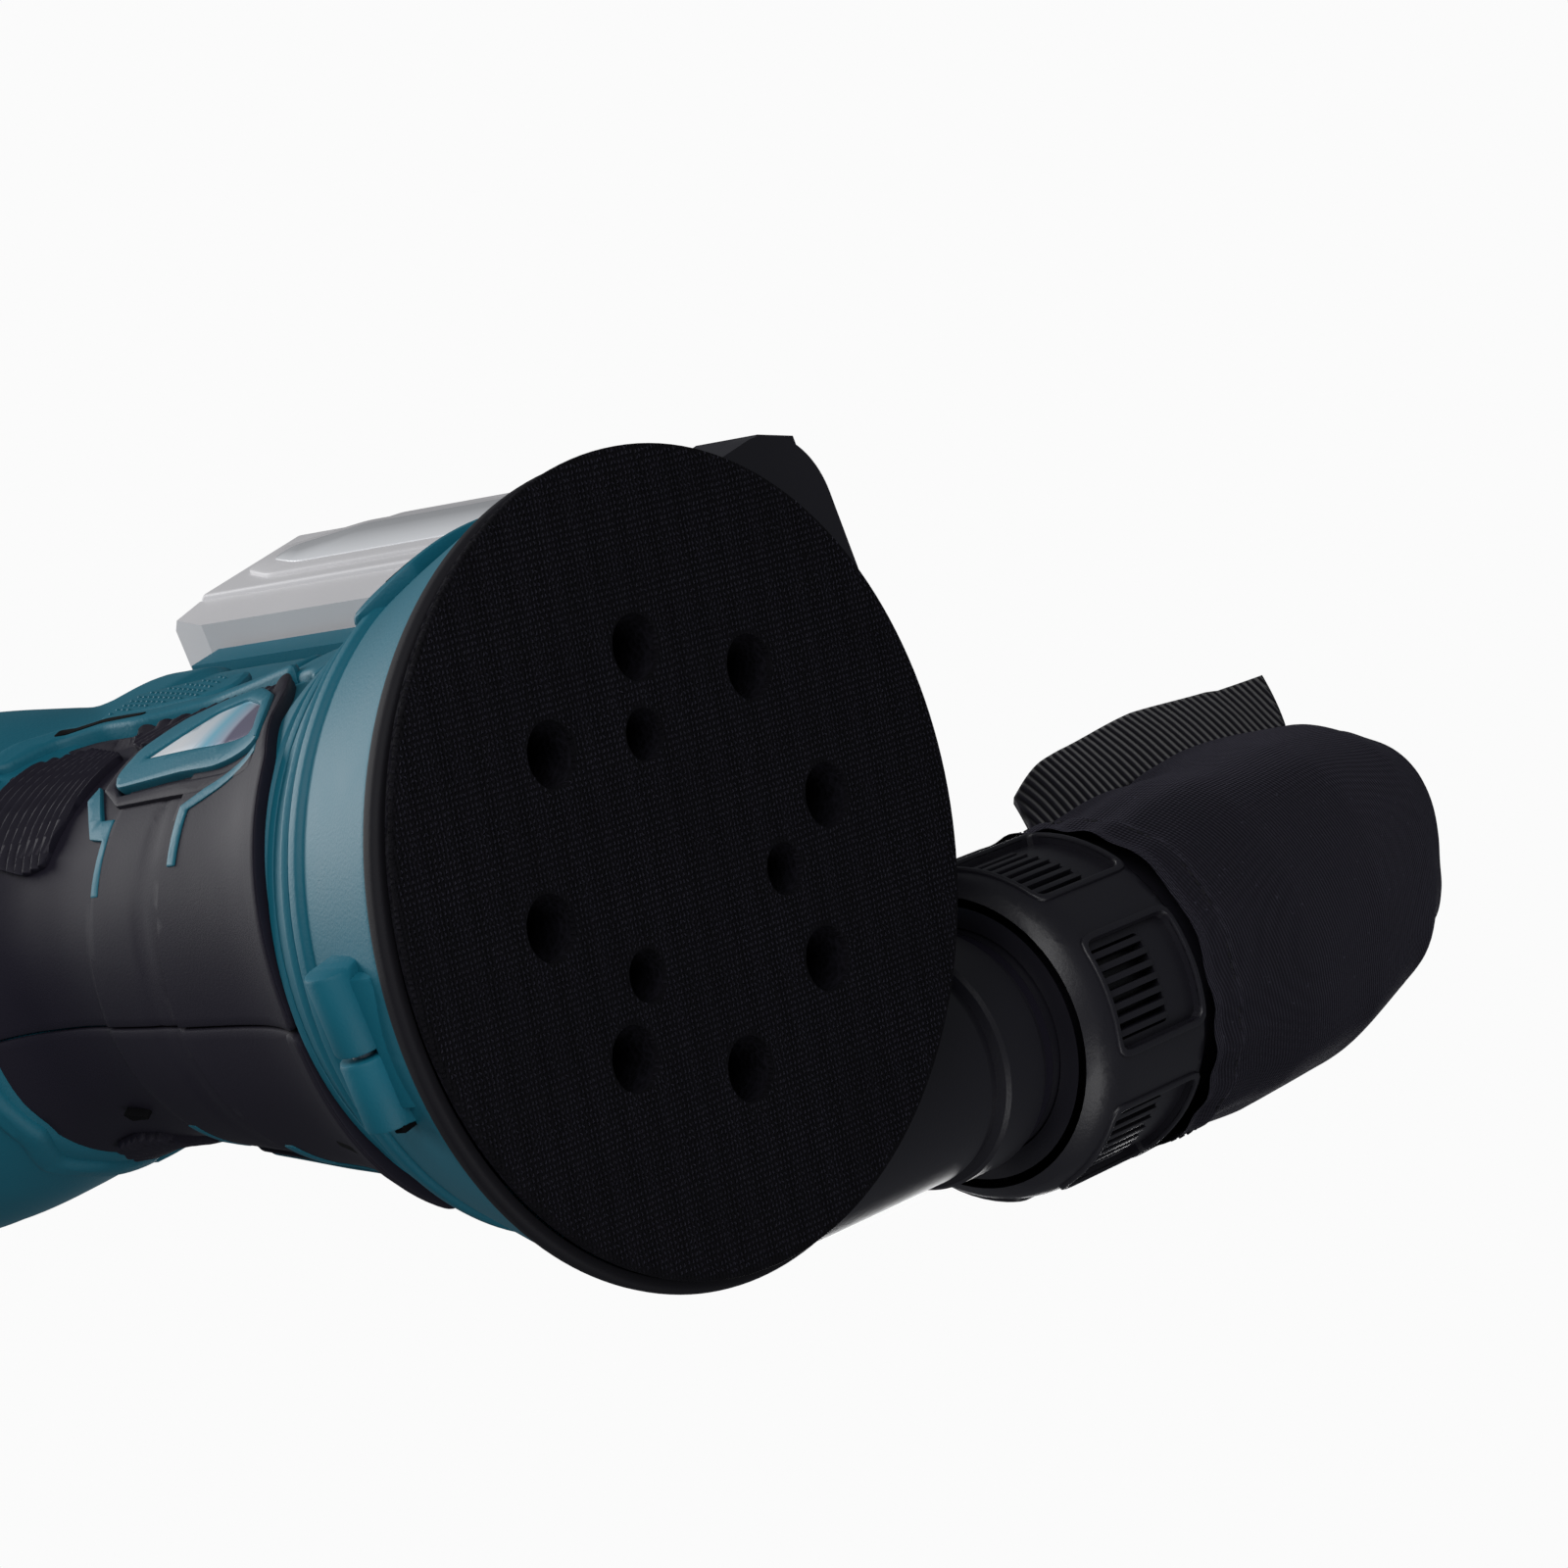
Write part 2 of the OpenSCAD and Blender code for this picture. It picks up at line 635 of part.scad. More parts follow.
module pad_hooks() {
  color("#121118") on_orbit() difference() {
    cylinder(r = pad_r, h = hook_t);
    pad_holes(-eps, hook_t + 2 * eps, access_r);
  }
}
module pad_screws() {
  color("#9a9ca1") on_orbit() for (a = screw_angles) at_angle(a, screw_pcr, 0) difference() {
    union() {
      translate([0, 0, plate_z - 2.2]) cylinder(r = 3.5, h = 2.2);
      translate([0, 0, plate_z]) cylinder(r = 2, h = plate_t + hub_flange_t - gap);
    }
    translate([0, 0, plate_z - 2.2 - eps]) cylinder(r = 1.3, h = 1.4 + eps, $fn = 6);
  }
}

// ================= Electronics in the head =================
board_z = shaft_top + 4;
module control_board() {
  color("#1f6b45") translate([0, -8, board_z]) difference() {
    cylinder(r = 24, h = 1.6);
    for (i = [0:2]) at_angle(120 * i + 90, 20, -eps) cylinder(r = 1.6, h = 4);
  }
}
module board_parts() {
  color("#30302f") translate([0, -8, board_z + 1.6]) {
    for (s = [-1, 1]) translate([s * 9, -8, 0]) cylinder(r = 4, h = 12);
    translate([-9, 4, 0]) cube([18, 9, 5]);
    for (i = [0:2]) translate([-12 + 9 * i, -1.6, 0]) cube([6, 4, 3]);
  }
}

// ================= Battery mount on the tool =================
rail_w = 52;
module battery_rails() {
  color("#26252c") translate([0, battery_seat_y, 0]) difference() {
    translate([-rail_w / 2 - 5, 0, rail_z0]) cube([rail_w + 10, rail_d, rail_z1 - rail_z0]);
    translate([-rail_w / 2, 2, rail_z0 - eps]) cube([rail_w, rail_d, rail_z1 - rail_z0 + 2 * eps]);
  }
  color("#26252c") for (s = [-1, 1])
    translate([s > 0 ? rail_w / 2 - 3 : -rail_w / 2, battery_seat_y + rail_d - 2, rail_z0])
      cube([3, 2, rail_z1 - rail_z0]);
}
terminal_z = rail_z0 + 3;
module battery_terminals() {
  color("#c98f3d") for (x = [-14, 14]) translate([x - 0.5, battery_seat_y + 2, terminal_z])
    cube([1, 4.4, 14]);
  color("#26252c") translate([-18, battery_seat_y + 2, terminal_z - 3]) cube([36, 2, 3]);
}

guard_t = 4.5;          // floor under the battery
guard_lip = 3.5;        // how far the floor stands out beyond the battery's sides
guard_r = 15;
module guard_outline() {
  // Plan of the floor under the battery, with large round corners at the back
  half = batt_w / 2 + guard_lip;
  back = batt_back + 2;
  union() {
    translate([-half, 46]) square([2 * half, back - guard_r - 46]);
    translate([-half + guard_r, back - guard_r - 1]) square([2 * (half - guard_r), guard_r + 1]);
    for (s = [-1, 1]) translate([s * (half - guard_r), back - guard_r]) circle(r = guard_r);
  }
}
guard_cup = 12;         // height of the wall that stands round the battery's lower end
cup_gap = 0.5;
cup_t = 1.8;
module battery_guard() {
  color("#2a2830") difference() {
    union() {
      translate([0, 0, batt_z - gap - guard_t]) linear_extrude(guard_t) guard_outline();
      translate([0, 0, batt_z - gap - 1]) linear_extrude(guard_cup + 1 + gap) intersection() {
        batt_profile(cup_gap + cup_t);
        translate([-100, batt_y + 6]) square([200, 100]);
      }
    }
    translate([0, 0, batt_z - gap]) linear_extrude(guard_cup + 4) batt_profile(cup_gap);
    tool_base();
    along_duct() translate([0, 0, duct_y0]) cylinder(r = duct_r + 1.6, h = ring_at - 4);
    along_duct() translate([0, 0, ring_at - 6]) cylinder(r = ring_r + 1, h = 150);
  }
}

// Pale badge let into the front of each flank
badge_turn = -29;
module badge_prism(side, g) {
  mirror([side < 0 ? 1 : 0, 0, 0]) rotate([90, 0, 90 + badge_turn]) translate([0, 0, 20])
    linear_extrude(40) polygon([
      [-2 - g, 82 + g], [2.5 + g, 76], [5 + g, 48], [3 + g, 44 - g], [-5 - g, 44 - g], [-5.5 - g, 72]
    ]);
}
module badge(side) {
  color("#e4e6ea") intersection() {
    difference() {
      body_form(skin_t - 0.3, 0, 7);
      body_form(0, 0, 8);
    }
    badge_prism(side, 0);
  }
}
module badge_left() { badge(-1); }
module badge_right() { badge(1); }

// ================= Battery =================
front_taper = 2.5;
back_bevel_x = 3.5;
back_bevel_y = 8;
module batt_profile(g) {
  // Plan of the battery: narrow rail face at the front, chamfers at the back
  w = batt_w / 2 + g;
  y0 = batt_y - g;
  y1 = batt_back + g;
  polygon([
    [-w + front_taper, y0], [w - front_taper, y0], [w, y0 + 16], [w, y1 - back_bevel_y],
    [w - back_bevel_x, y1], [-w + back_bevel_x, y1], [-w, y1 - back_bevel_y], [-w, y0 + 16]
  ]);
}
split_y = batt_y + 9;   // joint between the battery's case and its lid
end_bevel = 11;         // bevel at the front and back of the battery's upper end
side_bevel = 4;         // and along its two sides
module batt_solid(g) {
  w = batt_w / 2 + g;
  z0 = batt_z - g;
  z1 = batt_top + g;
  intersection() {
    translate([0, 0, z0]) linear_extrude(z1 - z0) batt_profile(g);
    translate([-100, 0, 0]) rotate([90, 0, 90]) linear_extrude(200) polygon([
      [batt_y - g + 5, z0], [batt_back + g - 3, z0], [batt_back + g, z0 + 3],
        [batt_back + g, z1 - end_bevel],
      [batt_back + g - end_bevel, z1], [batt_y - g + 4, z1], [batt_y - g, z1 - end_bevel],
        [batt_y - g, z0 + 11]
    ]);
    translate([0, 150, 0]) rotate([90, 0, 0]) linear_extrude(150) polygon([
      [-w + 2, z0], [w - 2, z0], [w, z0 + 2], [w, z1 - side_bevel], [w - side_bevel, z1],
      [-w + side_bevel, z1], [-w, z1 - side_bevel], [-w, z0 + 2]
    ]);
  }
}
module battery_case() {
  color("#c9c9cb") difference() {
    intersection() {
      batt_solid(0);
      translate([-60, split_y, 0]) cube([120, 60, 160]);
    }
    intersection() {
      batt_solid(-batt_wall);
      translate([-60, split_y - 1, 0]) cube([120, 60, 160]);
    }
  }
}
batt_rail_w = rail_w - 1.2;
module battery_lid() {
  color("#bfbfc2") difference() {
    union() {
      intersection() {
        batt_solid(0);
        translate([-60, 30, 0]) cube([120, split_y - 30, 160]);
      }
      translate([-batt_rail_w / 2, batt_y - rail_d + 0.6, rail_z0])
        cube([batt_rail_w, rail_d, latch_z - rail_z0 - 4]);
    }
    intersection() {
      batt_solid(-batt_wall);
      translate([-60, 30, 0]) cube([120, split_y - 29, 160]);
    }
    // Undercuts that take the tool's rail lips
    for (s = [-1, 1]) translate([s > 0 ? batt_rail_w / 2 - 3.4 : -batt_rail_w / 2 - 1,
      battery_seat_y + rail_d - 2 - gap, rail_z0 - 1]) cube([4.4, 2 + 2 * gap, rail_z1 - rail_z0]);
    // Slots for the tool's terminal blades
    for (x = [-14, 14]) translate([x - 1.5, battery_seat_y, rail_z0 - 1]) cube([3, 7, 22]);
    translate([-19, battery_seat_y, rail_z0 - 1]) cube([38, 4.6, 5]);
    latch_well();
  }
}
latch_w = 26;
latch_h = 12;
latch_t = 2.4;
latch_travel = 3;
latch_z = batt_top - end_bevel - latch_h - latch_travel - 1;
module latch_well() {
  translate([-latch_w / 2 - gap, batt_y - eps, latch_z - gap])
    cube([latch_w + 2 * gap, 10, latch_h + latch_travel + 2 * gap]);
}
module battery_latch() {
  color("#8b3030") translate([-latch_w / 2, batt_y + 0.4, latch_z]) cube([latch_w, latch_t, latch_h]);
}
cell_rows = 4;
cell_pitch = 2 * cell_r + 0.3;
cell_back = batt_back - batt_wall - 1.3;
cell_z = batt_z + batt_wall + 6;        // underside of the lowest cells
module each_cell() {
  for (i = [0:cell_rows - 1], j = [0:1])
    translate([-cell_len / 2, cell_back - cell_r - j * cell_pitch, cell_z + cell_r + i * cell_pitch])
      rotate([0, 90, 0]) children();
}
module battery_cells() {
  color("#2f6f9e") each_cell() cylinder(r = cell_r, h = cell_len);
}
module cell_holder() {
  color("#3b3b3f") difference() {
    translate([-cell_len / 2 + 3, cell_back - 3 * cell_r, cell_z + cell_r])
      cube([4, 2 * cell_r + 0.3, 3 * cell_pitch]);
    each_cell() translate([0, 0, -1]) cylinder(r = cell_r, h = cell_len + 2);
  }
}
module battery_board() {
  color("#1f6b45") translate([-25, cell_back - 30, cell_z + cell_rows * cell_pitch + 1.2])
    cube([50, 26, 1.6]);
}
module batt_label(side) {
  color("#eceef2") mirror([side < 0 ? 1 : 0, 0, 0])
    translate([batt_w / 2, batt_y + 17, batt_z + guard_cup + 2]) cube([0.4, 16, 82]);
}
module battery_label_left() { batt_label(-1); }
module battery_label_right() { batt_label(1); }
module battery_screws() {
  // Two below the cells and two above them
  color("#77797e") for (x = [-1, 1], z = [batt_z + 4.9, cell_z + cell_rows * cell_pitch + 3.6])
    translate([x * (batt_w / 2 - 8.4), batt_y + batt_wall + 5, z]) rotate([-90, 0, 0]) {
      cylinder(r = 2.5, h = 1.6);
      cylinder(r = 1.4, h = 8);
    }
}

// ================= Parts =================
housing_left();
housing_right();
overmould_left();
overmould_right();
palm_grip();
fan_shroud();
clamp_band();
clamp_screw();
rubber_skirt();
brake_ring();
dust_duct();
duct_seal();
stator();
windings();
upper_bearing();
lower_bearing();
upper_bracket();
lower_bracket();
bracket_screws();
control_board();
board_parts();
button_panel();
battery_rails();
battery_terminals();
battery_guard();
badge_left();
badge_right();
motor_shaft();
rotor_core();
rotor_magnets();
cooling_fan();
dust_fan();
pad_bearing();
pad_hub();
pad_plate();
pad_foam();
pad_hooks();
pad_screws();
battery_case();
battery_lid();
battery_cells();
cell_holder();
battery_board();
battery_label_left();
battery_label_right();
battery_screws();
battery_latch();
power_button();
speed_button();
nozzle_ring();
bag_collar();
dust_bag();
bag_flap();
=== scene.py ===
"""Cordless orbital sander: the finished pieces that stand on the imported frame."""

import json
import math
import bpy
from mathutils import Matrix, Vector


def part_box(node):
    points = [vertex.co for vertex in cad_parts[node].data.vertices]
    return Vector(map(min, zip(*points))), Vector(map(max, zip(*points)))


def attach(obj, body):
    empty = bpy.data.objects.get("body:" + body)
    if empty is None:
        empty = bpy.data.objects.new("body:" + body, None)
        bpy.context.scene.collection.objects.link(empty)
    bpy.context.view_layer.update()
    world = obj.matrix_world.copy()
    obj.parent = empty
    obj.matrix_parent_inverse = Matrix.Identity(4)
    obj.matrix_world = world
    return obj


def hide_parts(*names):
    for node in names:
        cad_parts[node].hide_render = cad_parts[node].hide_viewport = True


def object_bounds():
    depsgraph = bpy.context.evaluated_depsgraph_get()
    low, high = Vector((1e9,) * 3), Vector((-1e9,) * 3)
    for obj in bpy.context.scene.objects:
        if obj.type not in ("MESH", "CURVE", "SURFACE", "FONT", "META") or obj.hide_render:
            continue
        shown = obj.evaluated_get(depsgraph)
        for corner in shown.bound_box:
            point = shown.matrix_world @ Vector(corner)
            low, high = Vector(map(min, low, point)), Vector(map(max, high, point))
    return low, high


bl_info = {
    "name": "Orbital Sander Builder",
    "version": (1, 0, 0),
    "blender": (4, 5, 0),
    "location": "View3D > Sidebar > Sander",
    "description": "Builds the shells, skins, pad, battery and dust bag of a cordless sander",
    "category": "Object",
}

import bmesh
import bpy
from bpy.props import FloatProperty, FloatVectorProperty, IntProperty, PointerProperty
from mathutils import Matrix, Vector, noise

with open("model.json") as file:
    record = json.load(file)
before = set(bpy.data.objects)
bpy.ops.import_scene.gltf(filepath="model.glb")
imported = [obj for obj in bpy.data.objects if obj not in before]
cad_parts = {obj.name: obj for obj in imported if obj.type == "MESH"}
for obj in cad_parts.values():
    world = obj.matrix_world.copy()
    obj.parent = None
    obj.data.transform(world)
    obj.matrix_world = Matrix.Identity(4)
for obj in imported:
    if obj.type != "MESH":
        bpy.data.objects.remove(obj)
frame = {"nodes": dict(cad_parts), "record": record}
CAD_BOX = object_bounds()

# Shapes are drawn in millimetres and scaled once, when a piece is made.
MM = 0.001
# Length of one degree on the flat pattern that is wrapped round the housing
DEG = 0.698


# ---------------------------------------------------------------- Settings


class SanderSizes(bpy.types.PropertyGroup):
    """Sizes in millimetres that a user would change."""

    skin_height: FloatProperty(
        name="Skin height", description="How far the soft skin stands off the shells, in mm", default=1.4, min=0.8
    )
    hook_pitch: FloatProperty(
        name="Hook pitch", description="Distance between two hooks of the pad's face, in mm", default=0.95, min=0.8
    )
    grip_pitch: FloatProperty(
        name="Grip rib pitch", description="Distance between two ribs of the side grips, in mm", default=1.65, min=1
    )
    fins: IntProperty(name="Fins", description="Fins in each window of the nozzle ring", default=7, min=3)
    bag_puff: FloatProperty(
        name="Bag puff", description="How far the air in the bag lifts its cloth, in mm", default=1.6, min=0
    )


def linear(code):
    """Turns an sRGB hex value into linear red, green, blue and alpha."""
    levels = [int(code[i : i + 2], 16) / 255 for i in (1, 3, 5)]
    return (*[c / 12.92 if c <= 0.04045 else ((c + 0.055) / 1.055) ** 2.4 for c in levels], 1.0)


def colour_choice(name, description, code):
    """A colour setting whose default is an sRGB hex value."""
    return FloatVectorProperty(
        name=name, description=description, subtype="COLOR", size=4, min=0, max=1, default=linear(code)
    )


class SanderColours(bpy.types.PropertyGroup):
    """Colours of the main finishes."""

    shell: colour_choice("Shell", "Moulded shells and clamp band", "#0A6478")
    skin: colour_choice("Skin", "Soft overmoulded skin", "#1A1724")
    battery: colour_choice("Battery", "Battery case", "#CFCED0")
    cloth: colour_choice("Bag cloth", "Woven dust bag", "#15141A")


# ---------------------------------------------------------------- Materials


def add_node(tree, kind, inputs=None, **settings):
    """Adds one shader node, with its settings, and its inputs as values or as links."""
    node = tree.nodes.new("ShaderNode" + kind)
    for name, value in settings.items():
        setattr(node, name, value)
    for name, value in (inputs or {}).items():
        if isinstance(value, bpy.types.NodeSocket):
            tree.links.new(value, node.inputs[name])
        else:
            node.inputs[name].default_value = value
    return node


def start_material(name, **sockets):
    """A Principled surface, and Object coordinates in millimetres for its patterns."""
    material = bpy.data.materials.new(name)
    material.use_nodes = True
    tree = material.node_tree
    tree.nodes.clear()
    shader = add_node(tree, "BsdfPrincipled", sockets)
    add_node(tree, "OutputMaterial", {"Surface": shader.outputs["BSDF"]})
    place = add_node(tree, "TexCoord")
    scaled = add_node(tree, "Mapping", {"Vector": place.outputs["Object"], "Scale": (1 / MM, 1 / MM, 1 / MM)})
    return material, tree, shader, scaled.outputs["Vector"]


def shade(colour, factor):
    """The same colour, lighter or darker."""
    return (*[min(1.0, c * factor) for c in colour[:3]], 1.0)


def set_relief(tree, shader, height, depth_mm, strength=1.0):
    """Leads a height pattern into the shader's normal."""
    bump = add_node(tree, "Bump", {"Height": height, "Distance": depth_mm * MM, "Strength": strength})
    tree.links.new(bump.outputs["Normal"], shader.inputs["Normal"])


def moulded(name, colour, roughness, grain=0.35, depth=0.04, drift=0.12, **sockets):
    """Injection-moulded plastic: fine eroded grain, and a slow drift of colour and gloss."""
    material, tree, shader, place = start_material(name, Roughness=roughness, **sockets)
    fine = add_node(tree, "TexNoise", {"Vector": place, "Scale": 1 / grain, "Detail": 2.0})
    slow = add_node(tree, "TexNoise", {"Vector": place, "Scale": 1 / 18, "Detail": 3.0})
    tint = add_node(
        tree,
        "MixRGB",
        {"Fac": slow.outputs["Fac"], "Color1": shade(colour, 1 - drift), "Color2": shade(colour, 1 + drift)},
    )
    gloss = add_node(
        tree,
        "MapRange",
        {"Value": slow.outputs["Fac"], "To Min": roughness - 0.06, "To Max": roughness + 0.06},
    )
    tree.links.new(tint.outputs["Color"], shader.inputs["Base Color"])
    tree.links.new(gloss.outputs["Result"], shader.inputs["Roughness"])
    set_relief(tree, shader, fine.outputs["Fac"], depth)
    return material


def machined(name, colour, roughness, groove=0.25, **sockets):
    """Turned or milled metal: fine rings round the motor axis."""
    material, tree, shader, place = start_material(name, Metallic=1.0, Roughness=roughness, **sockets)
    rings = add_node(
        tree,
        "TexWave",
        {"Vector": place, "Scale": 0.3 / groove, "Distortion": 0.6, "Detail": 2.0},
        wave_type="RINGS",
        rings_direction="Z",
    )
    tint = add_node(
        tree,
        "MixRGB",
        {"Fac": rings.outputs["Fac"], "Color1": shade(colour, 0.86), "Color2": shade(colour, 1.1)},
    )
    tree.links.new(tint.outputs["Color"], shader.inputs["Base Color"])
    set_relief(tree, shader, rings.outputs["Fac"], 0.03)
    return material


def stacked_laminate(name, colour):
    """Electrical steel laminations: 0.5 mm sheets stacked along the axis, so their edges show as lines."""
    material, tree, shader, place = start_material(name, Metallic=1.0, Roughness=0.45)
    sheets = add_node(
        tree, "TexWave", {
            "Vector": place, "Scale": 0.62, "Distortion": 0.2
        }, wave_type="BANDS", bands_direction="Z"
    )
    tint = add_node(
        tree,
        "MixRGB",
        {"Fac": sheets.outputs["Fac"], "Color1": shade(colour, 0.6), "Color2": shade(colour, 1.15)},
    )
    tree.links.new(tint.outputs["Color"], shader.inputs["Base Color"])
    set_relief(tree, shader, sheets.outputs["Fac"], 0.08)
    return material


def wound_copper(name, colour):
    """Enamelled copper wire, 0.6 mm thick, laid side by side up each tooth, with painted shade between the turns and
    lighter tops.
    """
    material, tree, shader, place = start_material(name, Metallic=1.0, Roughness=0.3)
    turns = add_node(
        tree, "TexWave", {
            "Vector": place, "Scale": 0.52, "Distortion": 0.4
        }, wave_type="BANDS", bands_direction="Z"
    )
    # Painted shade: the colour follows the wire turns, darker in the valleys between wires and lighter on their tops.
    tint = add_node(
        tree,
        "MixRGB",
        {"Fac": turns.outputs["Fac"], "Color1": shade(colour, 0.35), "Color2": shade(colour, 1.1)},
    )
    tree.links.new(tint.outputs["Color"], shader.inputs["Base Color"])
    set_relief(tree, shader, turns.outputs["Fac"], 0.2)
    return material


def hook_fabric(name, colour, turn):
    """Woven nylon backing of a hook face: close rows of ground yarn, which look like fine ribs.

    The real yarns lie 0.4 mm apart and are drawn at 0.75 mm, so that they show."""
    material, tree, shader, place = start_material(name, Roughness=0.85)
    shader.inputs["Specular IOR Level"].default_value = 0.12
    turned_place = add_node(tree, "Mapping", {"Vector": place, "Rotation": (0, 0, turn)})
    lie = turned_place.outputs["Vector"]
    warp = add_node(
        tree,
        "TexWave",
        {"Vector": lie, "Scale": 0.42, "Distortion": 1.6, "Detail": 2.0, "Detail Scale": 2.0},
        bands_direction="Y",
    )
    weft = add_node(
        tree,
        "TexWave",
        {"Vector": lie, "Scale": 0.36, "Distortion": 2.6, "Detail": 2.0, "Detail Scale": 2.2},
    )
    bands = add_node(tree, "TexWave", {"Vector": lie, "Scale": 0.048, "Distortion": 0.4}, bands_direction="Y")
    weave = add_node(tree, "Math", {0: warp.outputs["Fac"], 1: weft.outputs["Fac"]}, operation="MULTIPLY")
    rows = add_node(
        tree, "Math", {0: weave.outputs[0], 1: bands.outputs["Fac"], 2: 0.25}, operation="MULTIPLY_ADD"
    )
    tint = add_node(
        tree,
        "MixRGB",
        {"Fac": rows.outputs[0], "Color1": shade(colour, 0.35), "Color2": shade(colour, 2.6)},
    )
    tree.links.new(tint.outputs["Color"], shader.inputs["Base Color"])
    set_relief(tree, shader, weave.outputs[0], 0.35)
    return material


def woven_cloth(name, colour, thread, sheen=0.25):
    """Tightly woven polyester with a brushed face: a soft sheen, lint, and threads that just show."""
    material, tree, shader, place = start_material(name, Roughness=0.92)
    shader.inputs["Specular IOR Level"].default_value = 0.1
    shader.inputs["Sheen Weight"].default_value = sheen
    shader.inputs["Sheen Roughness"].default_value = 0.6
    shader.inputs["Sheen Tint"].default_value = linear("#8F8CA0")
    across = add_node(
        tree, "TexWave", {"Vector": place, "Scale": 0.31 / thread, "Distortion": 1.0}, bands_direction="Y"
    )
    along = add_node(
        tree, "TexWave", {"Vector": place, "Scale": 0.31 / thread, "Distortion": 1.0}, bands_direction="Z"
    )
    weave = add_node(tree, "Math", {0: across.outputs["Fac"], 1: along.outputs["Fac"]}, operation="ADD")
    slow = add_node(tree, "TexNoise", {"Vector": place, "Scale": 1 / 22, "Detail": 5.0, "Roughness": 0.6})
    lint = add_node(tree, "TexNoise", {"Vector": place, "Scale": 1 / 0.9, "Detail": 1.0})
    specks = add_node(
        tree, "MapRange", {"Value": lint.outputs["Fac"], "From Min": 0.72, "From Max": 0.8, "To Max": 0.5}
    )
    tint = add_node(
        tree,
        "MixRGB",
        {"Fac": slow.outputs["Fac"], "Color1": shade(colour, 0.7), "Color2": shade(colour, 1.35)},
    )
    dusty = add_node(
        tree,
        "MixRGB",
        {"Fac": specks.outputs["Result"], "Color1": tint.outputs["Color"], "Color2": linear("#4A4956")},
    )
    tree.links.new(dusty.outputs["Color"], shader.inputs["Base Color"])
    set_relief(tree, shader, weave.outputs[0], 0.12)
    return material


def ribbed_cloth(name, colour, pitch, turn):
    """Corded webbing: rounded ribs across the closing flap, with painted shade in the valleys between them and a
    painted highlight on their crests.
    """
    material, tree, shader, place = start_material(name, Roughness=0.9)
    shader.inputs["Specular IOR Level"].default_value = 0.12
    shader.inputs["Sheen Weight"].default_value = 0.2
    lie = add_node(tree, "Mapping", {"Vector": place, "Rotation": (0, 0, turn)})
    ribs = add_node(
        tree,
        "TexWave",
        {"Vector": lie.outputs["Vector"], "Scale": 0.314 / pitch, "Distortion": 0.5, "Detail": 1.0},
        bands_direction="Y",
    )
    # Painted shade and highlight: the colour follows the ribs' height, darker in the valleys and lighter on the
    # crests.
    tint = add_node(
        tree,
        "MixRGB",
        {"Fac": ribs.outputs["Fac"], "Color1": shade(colour, 0.5), "Color2": shade(colour, 2.2)},
    )
    tree.links.new(tint.outputs["Color"], shader.inputs["Base Color"])
    set_relief(tree, shader, ribs.outputs["Fac"], 0.5)
    return material


def open_foam(name, colour):
    """Polyurethane foam: small open cells that catch the light as pits, with painted shade that darkens each pit and
    lightens the walls between.
    """
    material, tree, shader, place = start_material(name, Roughness=0.95)
    shader.inputs["Specular IOR Level"].default_value = 0.1
    cells = add_node(tree, "TexVoronoi", {"Vector": place, "Scale": 1 / 0.9}, feature="F1")
    # Painted shade: the colour follows the cells' depth, darker in each pit and lighter on the walls between.
    tint = add_node(
        tree,
        "MixRGB",
        {"Fac": cells.outputs["Distance"], "Color1": shade(colour, 0.4), "Color2": shade(colour, 1.4)},
    )
    tree.links.new(tint.outputs["Color"], shader.inputs["Base Color"])
    set_relief(tree, shader, cells.outputs["Distance"], 0.4)
    return material


def printed_film(name, low, high, lean):
    """Glossy polycarbonate label film: it fades from a grey foot through pale blue to white, and is blank."""
    material, tree, shader, place = start_material(name, Roughness=0.22)
    shader.inputs["Coat Weight"].default_value = 0.5
    shader.inputs["Coat Roughness"].default_value = 0.1
    parts = add_node(tree, "SeparateXYZ", {"Vector": place})
    haze = add_node(tree, "TexNoise", {"Vector": place, "Scale": 1 / 24, "Detail": 1.0})
    rise = add_node(
        tree, "MapRange", {"Value": parts.outputs["Z"], "From Min": low, "From Max": high, "To Min": -0.1}
    )
    blend = add_node(
        tree, "Math", {0: haze.outputs["Fac"], 1: 0.2, 2: rise.outputs["Result"]}, operation="MULTIPLY_ADD"
    )
    ramp = add_node(tree, "ValToRGB", {"Fac": blend.outputs[0]})
    stops = ramp.color_ramp
    stops.elements[0].position = 0.32
    stops.elements[0].color = linear(lean)
    stops.elements[1].position = 0.36
    stops.elements[1].color = linear("#A9B4C6")
    for position, code in ((0.5, "#7FBFD6"), (0.62, "#DCE6EE"), (0.8, "#F1F3F6")):
        stops.elements.new(position).color = linear(code)
    tree.links.new(ramp.outputs["Color"], shader.inputs["Base Color"])
    return material


MATERIALS = {}


